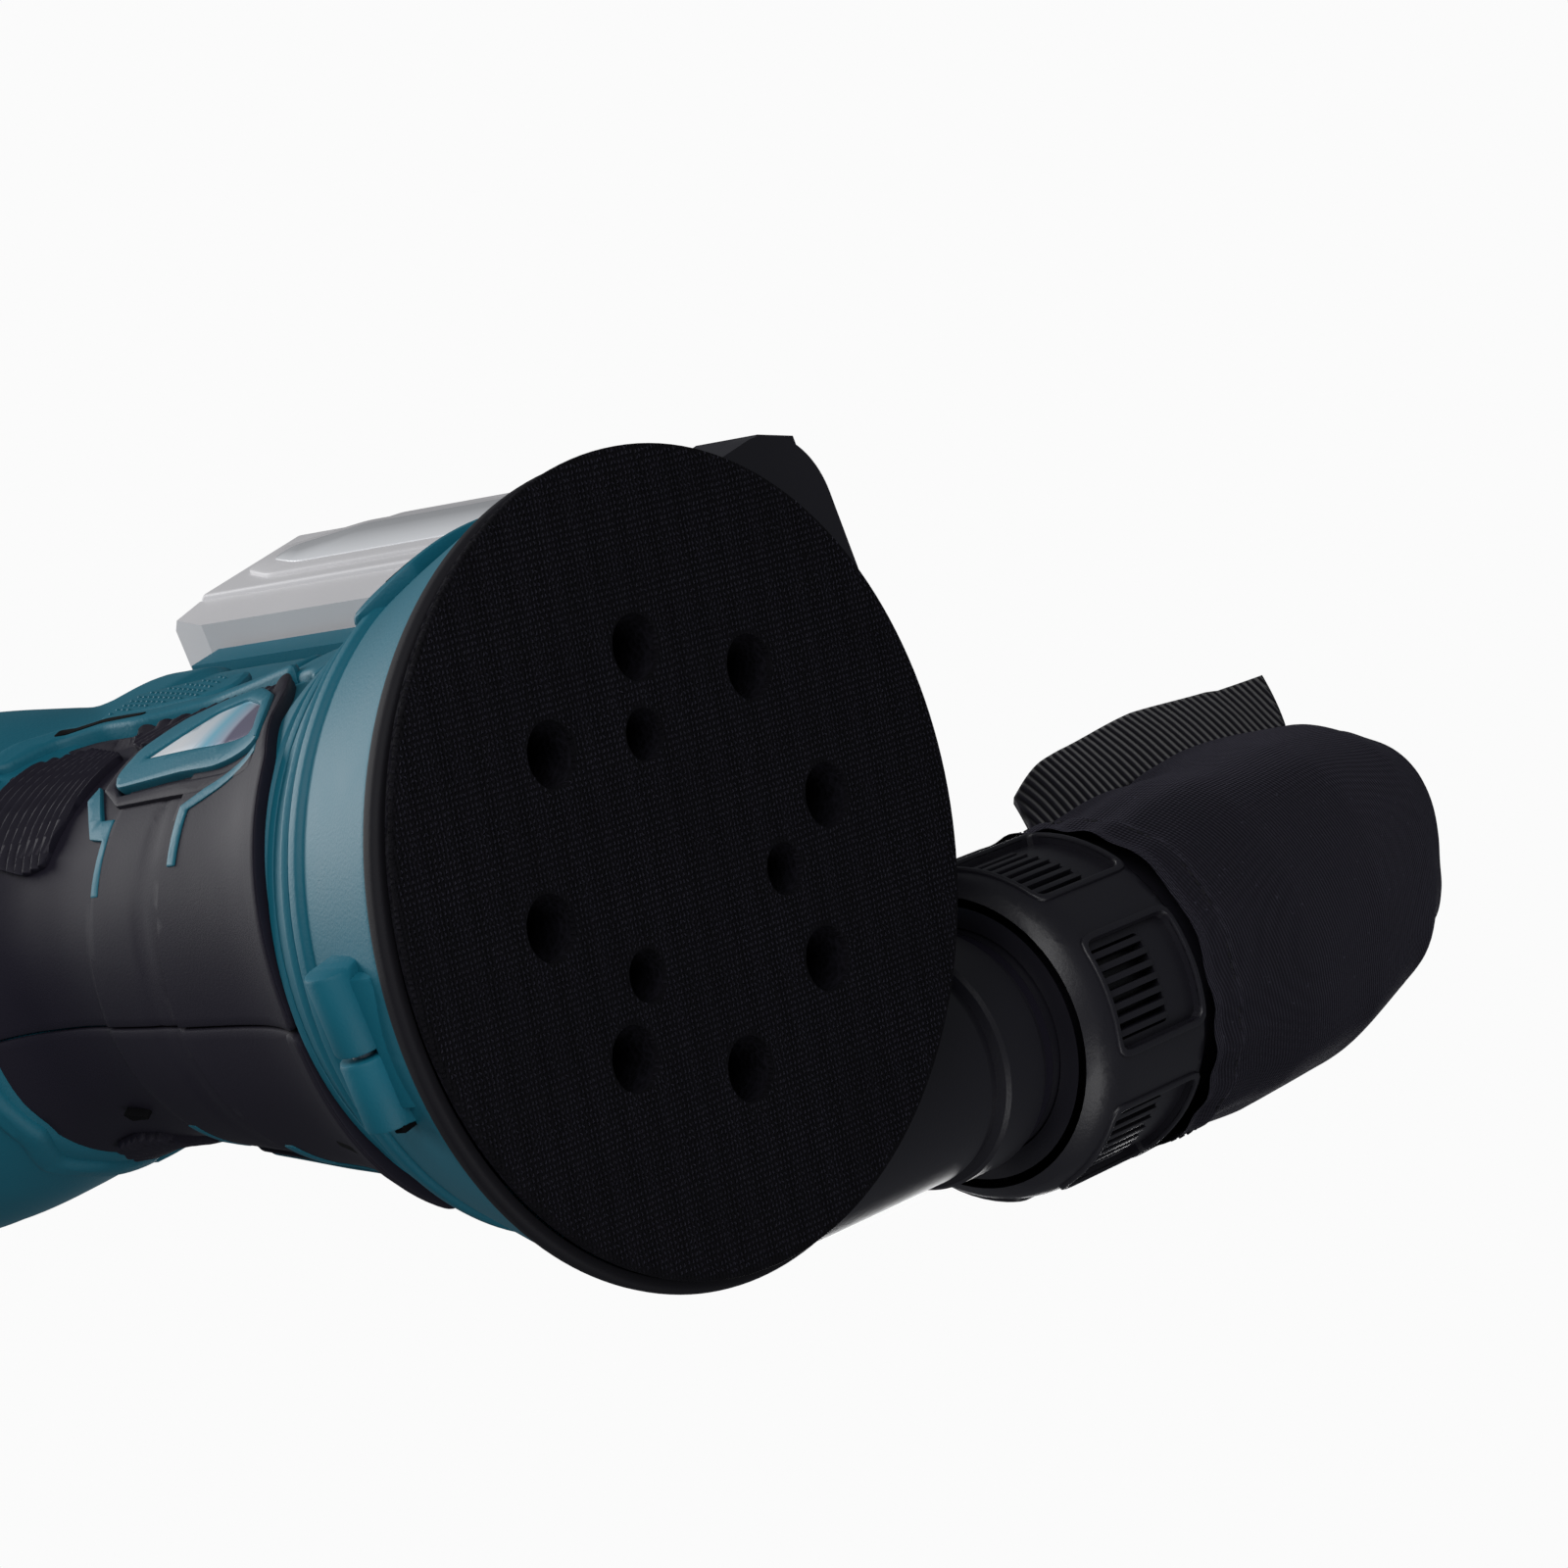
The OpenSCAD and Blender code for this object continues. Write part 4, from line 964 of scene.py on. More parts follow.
def make_palm():
    """Soft cap over the head: a dome with raised grip rings."""
    bm = bmesh.new()
    bmesh.ops.create_grid(bm, x_segments=144, y_segments=40, size=0.5)
    top = CAD_BOX[1][2] / MM - 0.4
    for vert in bm.verts:
        turn = (vert.co.x + 0.5) * 360
        climb = (vert.co.y + 0.5) * math.pi / 2
        foot = body_point(turn if turn <= 180 else turn - 360, PALM_FOOT, 1.4)
        centre = Vector((0, -13, PALM_FOOT))
        reach = max(0.0, math.cos(climb)) ** 0.62
        rings = 0.35 * math.sin(reach * 34) * ease(0.2, 0.3, reach) * (1 - ease(0.78, 0.86, reach))
        spot = centre + (foot - centre) * reach
        spot.z = PALM_FOOT - 1.5 + (top - PALM_FOOT + 1.5) * math.sin(climb) ** 0.9 + rings
        vert.co = spot
    bmesh.ops.remove_doubles(bm, verts=bm.verts, dist=0.02)
    bmesh.ops.recalc_face_normals(bm, faces=bm.faces)
    bm = outward(bm, (0, -13, 150))
    cap = piece("palm_cap", bm, "skin", "tool", ["palm_grip"], smooth=50)
    wall = cap.modifiers.new("Wall", "SOLIDIFY")
    wall.thickness = 1.2 * MM
    wall.offset = -1


def on_panel():
    """Where the button panel lies: Z points out of its face."""
    return Matrix.Translation((0, -48.5, 138)) @ Matrix.Rotation(math.radians(102), 4, "X")


def slot_outline(reach, radius, steps=14):
    """A slot with round ends, centred on the origin."""
    points = []
    for side in (1, -1):
        for k in range(steps + 1):
            a = math.radians(-90 + 180 * k / steps)
            points.append((side * (reach + radius * math.cos(a)), side * radius * math.sin(a)))
    return points


def make_button_frame():
    """A soft rounded frame that closes the gap round the button panel."""
    bm = raised([slot_outline(10, 12.4), slot_outline(10, 9.6)[::-1]], -5.5, 6.6, 0.9)
    bmesh.ops.transform(bm, matrix=on_panel(), verts=bm.verts)
    piece("button_frame", bm, "skin", "tool")
    # A blank raised ring on each button, in place of a printed mark
    for name, body, x in (("power_ring", "power", -10), ("speed_ring", "speed", 10)):
        ring = turned([(2.2, -0.3), (3.2, -0.3), (3.2, 0.25), (2.2, 0.25)], steps=40, radius=0.15)
        bmesh.ops.transform(ring, matrix=on_panel() @ Matrix.Translation((x, 0, 1.5)), verts=ring.verts)
        piece(name, ring, "grey", body)


# ---------------------------------------------------------------- Clamp band and lip


def cone_point(angle, z, lift=0.0):
    """A point on the clamp band's cone: angle is in degrees from +X towards +Y."""
    r = 60.7 - 9.9 * (z - 7.1) / 24.6 + lift
    return Vector((r * math.cos(math.radians(angle)), r * math.sin(math.radians(angle)), z))


def band_panel(outline, height, lip=0.5, base=-0.4):
    """A raised panel on the clamp band's cone, from an outline of (degrees, height)."""
    bm = raised([rounded([(a * 0.97, z) for a, z in outline], 1.2)], base, height - base, lip)
    slice_up(bm, 2, 3)
    for vert in bm.verts:
        vert.co = cone_point(vert.co.x / 0.97, vert.co.y, vert.co.z)
    return bm


def make_band():
    """The clamp band with its beaded edge, two-part screw boss and side ledge."""
    bm = turned(
        [
            (59.4, 7.1), (60.7, 7.1), (60.3, 8.4), (52.7, 27.2), (52.1, 28.2), (52.9, 29.2), (52.5, 31.2),
            (51.4, 31.7), (49.7, 31.7), (49.5, 31.0),
        ],
        steps=180,
        radius=0.5,
    )
    boss_x, boss_y, boss_z = 1.5, -57.75, 17.5
    boss = bmesh.new()
    for start, length in ((boss_x - 11.5, 11.1), (boss_x + 0.5, 12.6)):
        barrel = rod(4.1, length, bevel=0.7)
        bmesh.ops.transform(
            barrel,
            matrix=Matrix.Translation((start, boss_y, boss_z)) @ Matrix.Rotation(math.radians(90), 4, "Y"),
            verts=barrel.verts,
        )
        merge_into(boss, barrel)
        merge_into(boss, block((start, boss_y - 1, boss_z - 4.1), (start + length, -52, boss_z + 4.1), 0.6))
    # Web under the barrels, towards the lip
    merge_into(boss, block((boss_x - 9, boss_y - 1.2, 9.6), (boss_x + 11.5, -54, 14), 0.6))
    # Nothing of the boss may reach in past the band's wall, where the pad orbits
    for vert in boss.verts:
        reach, wall = math.hypot(vert.co.x, vert.co.y), cone_point(0, vert.co.z, -1.2).x
        if reach < wall:
            vert.co.x *= wall / reach
            vert.co.y *= wall / reach
    merge_into(bm, boss)
    piece("band", bm, "shell", "tool", ["clamp_band"])
    ledge = [(-16, 31), (-8, 24), (22, 22.5), (40, 24), (62, 31), (62, 33.4), (-16, 33.4)]
    piece("band_ledge", band_panel(ledge, 2.6, lip=1.1), "shell", "tool")
    # Painted shade: a dark strip raised on the ledge where its groove runs.
    groove = [(-9, 29.6), (-4, 27.4), (22, 26.4), (38, 27.6), (38, 28.8), (22, 27.6), (-3, 28.6), (-8, 30.6)]
    piece("band_ledge_groove_shade", band_panel(groove, 2.7, lip=0.1), "slot", "tool")
    # Painted shade: a dark block at the boss's end where its mouth opens.
    mouth = block(
        (boss_x - 12.4, boss_y - 1.9, boss_z - 3.6), (boss_x - 10.9, boss_y + 2.2, boss_z - 1.4), 0.3
    )
    piece("boss_mouth_shade", mouth, "slot", "tool")


def make_lip():
    """Rubber lip between the band and the pad, and the ribs on the shroud's shoulder."""
    bm = turned(
        [
            (59.6, 3.4), (61.4, 3.4), (62.0, 4.4), (61.7, 6.2), (60.8, 7.0), (58.5, 7.0), (59.9, 5)
        ], steps=180, radius=0.5
    )
    piece("lip", bm, "lip", "tool", ["rubber_skirt"])
    bead = turned([(49.4, 33.6), (50.4, 33.5), (50.5, 35.0), (49.3, 35.4)], steps=160, radius=0.4)
    merge_into(bead, turned([(46.2, 40.1), (47.1, 40.0), (46.9, 41.6), (45.8, 41.8)], steps=160, radius=0.35))
    piece("shoulder_beads", bead, "shell", "tool")


# ---------------------------------------------------------------- Dust outlet

RING_AT = 79
RING_LEN = 31
RING_R = 28.6
DUCT_R = 19.5


def along_duct():
    """Where the duct lies: Z runs along it to the bag, X is its inner side and Y points down."""
    place = Matrix.Translation((-49.9, 0, 32))
    return place @ Matrix.Rotation(math.radians(12.8), 4, "Z") @ Matrix.Rotation(math.radians(-90), 4, "X")


def turned_open(profile, steps=128):
    """An open skin turned round Z, whose ends may lie on the axis."""
    bm = bmesh.new()
    verts = [bm.verts.new((r, 0, z)) for r, z in profile]
    edges = [bm.edges.new(pair) for pair in zip(verts, verts[1:])]
    bmesh.ops.spin(
        bm, geom=verts + edges, cent=(0, 0, 0), axis=(0, 0, 1), angle=math.tau, steps=steps, use_merge=True
    )
    bmesh.ops.remove_doubles(bm, verts=bm.verts, dist=1e-3)
    bmesh.ops.recalc_face_normals(bm, faces=bm.faces)
    return bm


def make_duct():
    """The outlet pipe: round at the front, with a collar and a groove for its seal."""
    nose = [
        (
            DUCT_R * math.cos(a), 7 - DUCT_R * math.sin(a)
        ) for a in (math.radians(90 - 9 * k) for k in range(11))
    ]
    nose[0] = (0, 7 - DUCT_R)
    pipe = [
        (DUCT_R, 60.5), (DUCT_R - 0.6, 61.2), (DUCT_R - 0.6, 62.6), (DUCT_R + 0.9, 63.2), (DUCT_R + 1.4, 64),
        (DUCT_R + 1.4, 73), (DUCT_R + 0.6, 74), (DUCT_R, 74.3), (DUCT_R, 75.4), (DUCT_R - 1.0, 75.6),
        (DUCT_R - 1.0, 77.2), (DUCT_R, 77.4), (DUCT_R, 89), (17.3, 89), (17.3, 9), (0, 9),
    ]
    bm = turned_open(nose + pipe, steps=96)
    bmesh.ops.transform(bm, matrix=along_duct(), verts=bm.verts)
    piece("duct", bm, "black", "tool", ["dust_duct"], smooth=30)
    # Brace that carries the pipe on the shroud
    brace = block((-8, -2, 8), (9, 13, 66), 3)
    bmesh.ops.transform(brace, matrix=along_duct() @ Matrix.Translation((10, 0, 0)), verts=brace.verts)
    piece("duct_brace", brace, "black", "tool")


def ring_radius(s):
    """The nozzle ring's radius at a distance from its front edge: a full round shoulder, then straight."""
    shoulder = math.sqrt(max(0.0, 1 - ((8 - s) / 8.4) ** 2)) if s < 8 else 1.0
    return 23.4 + (RING_R - 23.4) * shoulder - 1.2 * ease(28.6, RING_LEN, s)


def window_sector(fins):
    """One sixth of the nozzle ring, flat: a sunk frame, and a deeper window with fins along the ring."""
    half = math.radians(30) * RING_R
    edge = [(-half, 0), (half, 0), (half, RING_LEN), (-half, RING_LEN)]
    pocket = rounded([(-9.6, 5.4), (9.6, 5.4), (9.6, 28), (-9.6, 28)], 2)
    window = rounded([(-8.2, 6.8), (8.2, 6.8), (8.2, 20), (-8.2, 20)], 0.8)
    bm = bmesh.new()
    for mark, loops in enumerate(([edge, pocket[::-1]], [pocket, window[::-1]], [window])):
        part = filled(loops)
        for face in part.faces:
            face.material_index = mark
        merge_into(bm, part)
    bmesh.ops.remove_doubles(bm, verts=bm.verts, dist=1e-3)
    slice_up(bm, 2.5, 1.6)
    for level, depth in ((1, -1.3), (2, -2.6)):
        faces = [f for f in bm.faces if f.material_index >= level]
        grown = bmesh.ops.extrude_face_region(bm, geom=faces)["geom"]
        bmesh.ops.translate(
            bm, verts=[g for g in grown if isinstance(g, bmesh.types.BMVert)], vec=(0, 0, depth)
        )
        bmesh.ops.delete(bm, geom=faces, context="FACES")
    for face in bm.faces:
        face.material_index = 0
    # Rim that stands round the sunk frame, open towards the bag
    rim_out = rounded([(-10.8, 4.4), (10.8, 4.4), (10.8, 29.2), (-10.8, 29.2)], 2.6)
    rim = raised([rim_out, pocket[::-1]], -0.2, 0.75, 0.3)
    slice_up(rim, 2.5, 2.5)
    merge_into(bm, rim)
    pitch = 16.4 / fins
    for i in range(fins):
        u = -8.2 + pitch * (i + 0.5)
        fin = block((u - 0.25 * pitch, 6.6, -4.2), (u + 0.25 * pitch, 20.2, -0.9), 0.15)
        merge_into(bm, fin)
    for vert in bm.verts:
        u, s, lift = vert.co
        r = ring_radius(s) + lift
        a = u / RING_R
        vert.co = (r * math.cos(a), r * math.sin(a), s)
    return bm


def make_nozzle_ring(sizes):
    """The ring that holds the bag on the duct, with six finned windows."""
    bm = window_sector(sizes.fins)
    geom = bm.verts[:] + bm.edges[:] + bm.faces[:]
    bmesh.ops.spin(
        bm, geom=geom, cent=(0, 0, 0), axis=(0, 0, 1), angle=math.radians(300), steps=5, use_duplicate=True
    )
    bmesh.ops.remove_doubles(bm, verts=bm.verts, dist=2e-3)
    bmesh.ops.recalc_face_normals(bm, faces=bm.faces)
    merge_into(bm, turned_open([(23.4, 0.02), (19.8, 0.02), (19.8, RING_LEN), (27.4, RING_LEN)], steps=96))
    turn = Matrix.Rotation(math.radians(WINDOW_TURN), 4, "Z")
    bmesh.ops.transform(bm, matrix=along_duct() @ Matrix.Translation((0, 0, RING_AT)) @ turn, verts=bm.verts)
    piece("nozzle", bm, "black", "dust_bag_unit", ["nozzle_ring"], smooth=32)


WINDOW_TURN = 20

# Distance behind the ring, half-width, half-height, sag and inward lean of the filled bag, which lies inside the CAD one
BAG = (
    (0, 28, 28, 0, 0),
    (8.6, 29.4, 28.8, 0.6, 0),
    (28, 31, 30, 1.6, 0.8),
    (52, 31, 29.2, 2.2, 2.6),
    (74, 27.4, 25.8, 2.4, 5.2),
    (85, 23, 22, 2.2, 6.4),
    (89, 18.5, 17.5, 2, 6.8),
)


def bag_row(s):
    """Half-width, half-height, sag and lean of the bag at a distance behind the ring."""
    i = next(k for k in range(len(BAG) - 1) if s <= BAG[k + 1][0] + 1e-6)
    low, high = BAG[i], BAG[i + 1]
    t = ease(low[0], high[0], s) * 0.4 + (s - low[0]) / (high[0] - low[0]) * 0.6
    return [low[k] + (high[k] - low[k]) * t for k in (1, 2, 3, 4)]


def bag_fold(angle, s):
    """Soft folds: gathers by the hem, long creases from the mouth, and a pinch under the flap."""
    near = math.exp(-s / 22)
    gathers = 0.35 * near * math.sin(angle * 17 + 2 * math.sin(angle * 3))
    long_crease = 1.1 * noise.noise(Vector((2.2 * math.cos(angle), 2.2 * math.sin(angle), s / 55)))
    wide = 0.9 * noise.noise(Vector((1.1 * math.cos(angle) + 4, 1.1 * math.sin(angle), s / 26)))
    pinch = -1.6 * math.exp(
        -(((s - 22 - 16 * math.sin(angle + 0.9)) / 5) ** 2)
    ) * max(0.0, math.cos(angle + 0.7)) ** 3
    return gathers + (long_crease + wide) * ease(6, 22, s) + pinch * ease(8, 16, s)


def bag_shell():
    """The bag as a lofted tube, closed at its far end by a flat seam."""
    bm = bmesh.new()
    bmesh.ops.create_grid(bm, x_segments=150, y_segments=110, size=0.5)
    side = BAG[-1][0]
    for vert in bm.verts:
        angle = (vert.co.x + 0.5) * math.tau
        run = (vert.co.y + 0.5) * (side + 22)
        s = min(run, side)
        width, height, sag, lean = bag_row(s)
        shrink = 1.0
        if run > side:
            # The end closes over a shallow dome
            t = (run - side) / 22
            shrink = 1 - t
            s = side + 0.8 * math.sin(t * math.pi / 2)
        fold = bag_fold(angle, s) * shrink - 1.3 * ease(0, 4, s)
        hem = 0.9 * (1 - ease(8.2, 9.4, s))
        # A cross-section that is a little boxy, as sewn panels are
        c, d = math.cos(angle), math.sin(angle)
        r = (abs(c) ** 2.3 + abs(d) ** 2.3) ** (-1 / 2.3) if run <= side else 1.0
        x = (width * r * shrink + fold + hem) * c if shrink > 0 else 0.0
        y = (height * r * shrink + fold + hem) * d if shrink > 0 else 0.0
        vert.co = (x + lean, y + sag, s)
    bmesh.ops.remove_doubles(bm, verts=bm.verts, dist=0.05)
    bmesh.ops.recalc_face_normals(bm, faces=bm.faces)
    return outward(bm, (0, 0, 50))


def settle_cloth(made, pin, pressure, cap):
    """Runs cloth with air inside, its pinned edge held, keeps each point within the cap, and applies it."""
    rest = [v.co.copy() for v in made.data.vertices]
    cloth = made.modifiers.new("Cloth", "CLOTH")
    cloth.settings.quality = 6
    cloth.settings.mass = 0.2
    cloth.settings.use_pressure = True
    cloth.settings.uniform_pressure_force = pressure
    cloth.settings.vertex_group_mass = pin
    cloth.settings.effector_weights.gravity = 0
    cloth.point_cache.frame_start = 1
    cloth.point_cache.frame_end = 20
    scene = bpy.context.scene
    for step in range(1, 21):
        scene.frame_set(step)
    settled = made.evaluated_get(bpy.context.evaluated_depsgraph_get())
    moves = [v.co - r for v, r in zip(settled.data.vertices, rest)]
    made.modifiers.remove(cloth)
    for vert, start, move in zip(made.data.vertices, rest, moves):
        length = move.length
        vert.co = start + (move * min(1.0, cap / length) if length > 1e-9 else move)
    scene.frame_set(1)


def make_bag(sizes):
    """The woven dust bag, with its stitched hem and the cloth settled by air inside it."""
    bm = bag_shell()
    place = along_duct() @ Matrix.Translation((0, 0, RING_AT + RING_LEN + 0.2))
    bmesh.ops.transform(bm, matrix=place, verts=bm.verts)
    bag = piece("bag", bm, "cloth", "dust_bag_unit", ["dust_bag"], smooth=80)
    group = bag.vertex_groups.new(name="hem")
    mouth = place.inverted()
    held = [v.index for v in bag.data.vertices if (mouth @ (v.co / MM)).z < 11]
    group.add(held, 1.0, "REPLACE")
    settle_cloth(bag, "hem", 4.0, sizes.bag_puff * MM)
    bag.vertex_groups.remove(group)
    # A row of stitches in the hem
    thread = bmesh.new()
    level = 7.4
    width, height, sag, lean = bag_row(level)
    for k in range(96):
        angle = math.tau * k / 96
        stitch = rod(0.22, 1.15, sides=6)
        swing = Matrix.Rotation(angle, 4, "Z") @ Matrix.Rotation(math.radians(-90), 4, "X")
        r = (abs(math.cos(angle)) ** 2.3 + abs(math.sin(angle)) ** 2.3) ** (-1 / 2.3)
        spot = (
            (width * r - 0.55) * math.cos(angle) + lean, (height * r - 0.55) * math.sin(angle) + sag, level
        )
        bmesh.ops.transform(stitch, matrix=place @ Matrix.Translation(spot) @ swing, verts=stitch.verts)
        merge_into(thread, stitch)
    piece("bag_stitches", thread, "lip", "dust_bag_unit")


def make_flap():
    """The corded closing flap, which stands off the bag's inner side and curls at its far corner."""
    bm = bmesh.new()
    bmesh.ops.create_grid(bm, x_segments=56, y_segments=14, size=0.5)
    for vert in bm.verts:
        along, across = vert.co.x + 0.5, vert.co.y + 0.5
        s = 11 + 73 * along + 7 * across * ease(0.6, 1.0, along) - 4 * (1 - across) * (1 - along)
        width, _, sag, inward = bag_row(min(s, 76))
        width += inward
        rise = 11.5 * across * ease(-0.3, 0.16, along) * (1 - 0.35 * ease(0.8, 1.0, along) * (1 - across))
        curl = 1.2 * math.sin(along * 7 + 1) * across + 1.5 * across**2
        lean = math.radians(-14) - 0.17 * across
        r = width * 0.985 - 1.6 + rise
        vert.co = (r * math.cos(lean), r * math.sin(lean) + sag + curl * 0.6, s)
    bmesh.ops.transform(
        bm, matrix=along_duct() @ Matrix.Translation((0, 0, RING_AT + RING_LEN)), verts=bm.verts
    )
    bmesh.ops.recalc_face_normals(bm, faces=bm.faces)
    flap = piece("flap", bm, "flap", "dust_bag_unit", ["bag_flap"], smooth=80)
    wall = flap.modifiers.new("Wall", "SOLIDIFY")
    wall.thickness = 1.5 * MM
    wall.offset = 0
    return flap


# ---------------------------------------------------------------- Pad

PAD_TURN = math.radians(-13.4)
PAD_CENTRE = Vector((1.4 * math.cos(math.radians(25)), 1.4 * math.sin(math.radians(25)), 0))
PAD_R = 61.5


def circle(radius, centre=(0, 0), steps=48):
    """Points round a circle."""
    return [
        (
            centre[0] + radius * math.cos(math.tau * k / steps),
            centre[1] + radius * math.sin(math.tau * k / steps)
        )
        for k in range(steps)
    ]


def hole_places():
    """Centre and radius of each hole in the pad, from the pad's own axis."""
    places = [(32.5, 8.6 + 45 * k, 5.0) for k in range(8)] + [(20.3, 120 * k, 4.0) for k in range(3)]
    return [(r * math.cos(math.radians(a)), r * math.sin(math.radians(a)), hole) for r, a, hole in places]


def pad_disc(radius, base, grow=0.0):
    """The pad's flat outline with its holes."""
    loops = [circle(radius, steps=160)] + [circle(r + grow, (x, y), 40)[::-1] for x, y, r in hole_places()]
    return filled(loops, base)


def pad_layer(stages, grow=0.0):
    """A layer of the pad, built up in stages of (height, radius); the holes go straight through."""
    bm = pad_disc(stages[0][1], stages[0][0], grow)
    top = bm.faces[:]
    level = stages[0][0]
    for number, (z, radius) in enumerate(stages[1:]):
        below = top
        grown = bmesh.ops.extrude_face_region(bm, geom=below)["geom"]
        top = [g for g in grown if isinstance(g, bmesh.types.BMFace)]
        verts = [g for g in grown if isinstance(g, bmesh.types.BMVert)]
        bmesh.ops.translate(bm, verts=verts, vec=(0, 0, z - level))
        for vert in verts:
            flat = math.hypot(vert.co.x, vert.co.y)
            if flat > 45:
                vert.co.x *= radius / flat
                vert.co.y *= radius / flat
        if number:
            bmesh.ops.delete(bm, geom=below, context="FACES")
        level = z
    bmesh.ops.recalc_face_normals(bm, faces=bm.faces)
    bmesh.ops.translate(bm, verts=bm.verts, vec=PAD_CENTRE)
    return bm


def make_pad():
    """Foam layer and the woven ground of the hook face."""
    foam = pad_layer(
        [(1.45, 61.3), (2.1, 61.3), (2.8, 59.6), (3.8, 56.6), (6, 55.4), (9.2, 55.2), (9.95, 54.4)], 0.1
    )
    foam = piece("foam_layer", foam, "foam", "pad", ["pad_foam"], smooth=40)
    ground = pad_layer([(0.5, 60.9), (0.62, 61.35), (0.9, PAD_R), (1.3, PAD_R), (1.42, 61.2)])
    piece("hook_ground", ground, "hook_base", "pad", ["pad_hooks"], smooth=30)


def one_hook():
    """One cut hook: a thin bent stalk, with only a few faces because the pad holds thousands."""
    bm = bmesh.new()
    bmesh.ops.create_circle(bm, cap_ends=True, segments=3, radius=0.12)
    bmesh.ops.translate(bm, verts=bm.verts, vec=(0, 0, 0.62))
    bmesh.ops.spin(
        bm, geom=bm.verts[:] + bm.edges[:] + bm.faces[:], cent=(0.27, 0, 0.6), axis=(0, 1, 0),
        angle=math.radians(-160), steps=2, use_merge=False,
    )
    bmesh.ops.recalc_face_normals(bm, faces=bm.faces)
    return bm


def repeat(bm, step, count):
    """Repeats everything along a step by doubling it, up to the first power of two from count on."""
    made = 1
    while made < count:
        copied = bmesh.ops.duplicate(bm, geom=bm.verts[:] + bm.edges[:] + bm.faces[:])["geom"]
        verts = [g for g in copied if isinstance(g, bmesh.types.BMVert)]
        bmesh.ops.translate(bm, verts=verts, vec=Vector(step) * made)
        made *= 2


def make_hooks(sizes):
    """Rows of nylon hooks over the whole face, clear of the holes, each leaning its own way."""
    pitch = sizes.hook_pitch
    count = int(2 * PAD_R / pitch) + 2
    bm = one_hook()
    per_hook = len(bm.verts)
    repeat(bm, (pitch, 0, 0), count)
    repeat(bm, (0, pitch, 0), count)
    verts = bm.verts[:]
    middle = count // 2
    lie = Matrix.Rotation(-PAD_TURN, 4, "Z")
    holes = hole_places()
    gone = []
    for k in range(0, len(verts), per_hook):
        group = verts[k : k + per_hook]
        column = round(min(v.co.x for v in group) / pitch)
        row = round(sum(v.co.y for v in group) / per_hook / pitch)
        root = Vector((column * pitch, row * pitch, 0))
        seed = Vector((column * 0.37, row * 0.41, 0.5))
        jitter = noise.noise_vector(seed * 3.1)
        spin = Matrix.Rotation(1.1 * noise.noise(seed * 5.3), 4, "Z")
        shift = Vector((0.22 * jitter.x, 0.22 * jitter.y + 0.16 * math.sin(column * 0.9), 0))
        centre = Vector(((column - middle) * pitch, (row - middle) * pitch, 0))
        spot = lie @ (centre + shift)
        clear = spot.length < PAD_R - 0.7 and all(
            math.hypot(spot.x - x, spot.y - y) > r + 0.35 for x, y, r in holes
        )
        if not clear:
            gone += group
            continue
        place = Matrix.Translation(spot + PAD_CENTRE) @ lie @ spin @ Matrix.Translation(-root)
        for vert in group:
            vert.co = place @ vert.co
    bmesh.ops.delete(bm, geom=gone, context="VERTS")
    piece("hook_rows", bm, "hooks", "pad", smooth=60)


# ---------------------------------------------------------------- Battery


def make_battery():
    """The battery's case with its bevelled ends, raised side plates and blank label films."""
    low, high = (tuple(c / MM for c in corner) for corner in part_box("battery_case"))
    w, y1, z0, z1 = high[0], high[1], low[2], high[2]
    cuts = [
        ((w, y1 - 8, 0), (8, 3.5, 0)),
        ((-w, y1 - 8, 0), (-8, 3.5, 0)),
        ((w, 0, z1 - 4), (1, 0, 1)),
        ((-w, 0, z1 - 4), (-1, 0, 1)),
        ((0, y1, z1 - 11), (0, 1, 1)),
        ((0, y1, z0 + 3), (0, 1, -1)),
        ((w, 0, z0 + 2), (1, 0, -1)),
        ((-w, 0, z0 + 2), (-1, 0, -1)),
    ]
    piece("case", cut_block(low, high, cuts, 0.9), "battery", "battery", ["battery_case"])

    def side_sheet(outline, base, height, lip, corner):
        bm = raised([rounded(outline, corner)], 0, height, lip)
        # The sheet is drawn in Y and Z, and stands out along X
        stand = Matrix(((0, 0, 1, w + base), (1, 0, 0, 0), (0, 1, 0, 0), (0, 0, 0, 1)))
        bmesh.ops.transform(bm, matrix=stand, verts=bm.verts)
        return bm

    plate = [(58.5, 49), (80, 49), (80, 120), (73, 135), (63, 135), (58.5, 126)]
    film = [(62, 52), (77.4, 52), (77.4, 118), (71.5, 131), (66, 131), (62, 122)]
    strip = [(81.4, 49), (84.6, 49), (84.6, 116), (81.4, 122)]
    for name, outline, base, height, lip, corner, finish, nodes, slot in (
        ("case_plate", plate, -0.2, 1.1, 0.6, 2, "battery", None, "battery_shell"),
        ("case_label", film, 0.8, 0.3, 0.1, 2, "label", "battery_label", "battery_label"),
        ("case_strip", strip, -1.6, 1.5, 0.5, 1, "battery", None, "battery_shell"),
    ):
        both_sides(
            name, lambda a=(
                outline, base, height, lip, corner
            ): side_sheet(*a), finish, "battery", nodes
        )
    # Back plate with three long flutes
    bm = block((-24, y1 - 0.4, z0 + 12), (24, y1 + 0.8, z1 - 14), 0.5)
    for x in (-14, 0, 14):
        merge_into(bm, block((x - 4.5, y1 + 0.4, z0 + 18), (x + 4.5, y1 + 1.5, z1 - 20), 0.6))
    piece("case_back", bm, "battery", "battery")
    # Four dark charge lamps beside the latch, on the battery's upper end
    lamps = bmesh.new()
    for k in range(4):
        merge_into(
            lamps, block((-10.5 + 6 * k, y1 - 24, z1 - 0.3), (-7.5 + 6 * k, y1 - 21.5, z1 + 0.35), 0.2)
        )
    piece("charge_lamps", lamps, "parts", "battery")


# ---------------------------------------------------------------- CAD finishes and stage


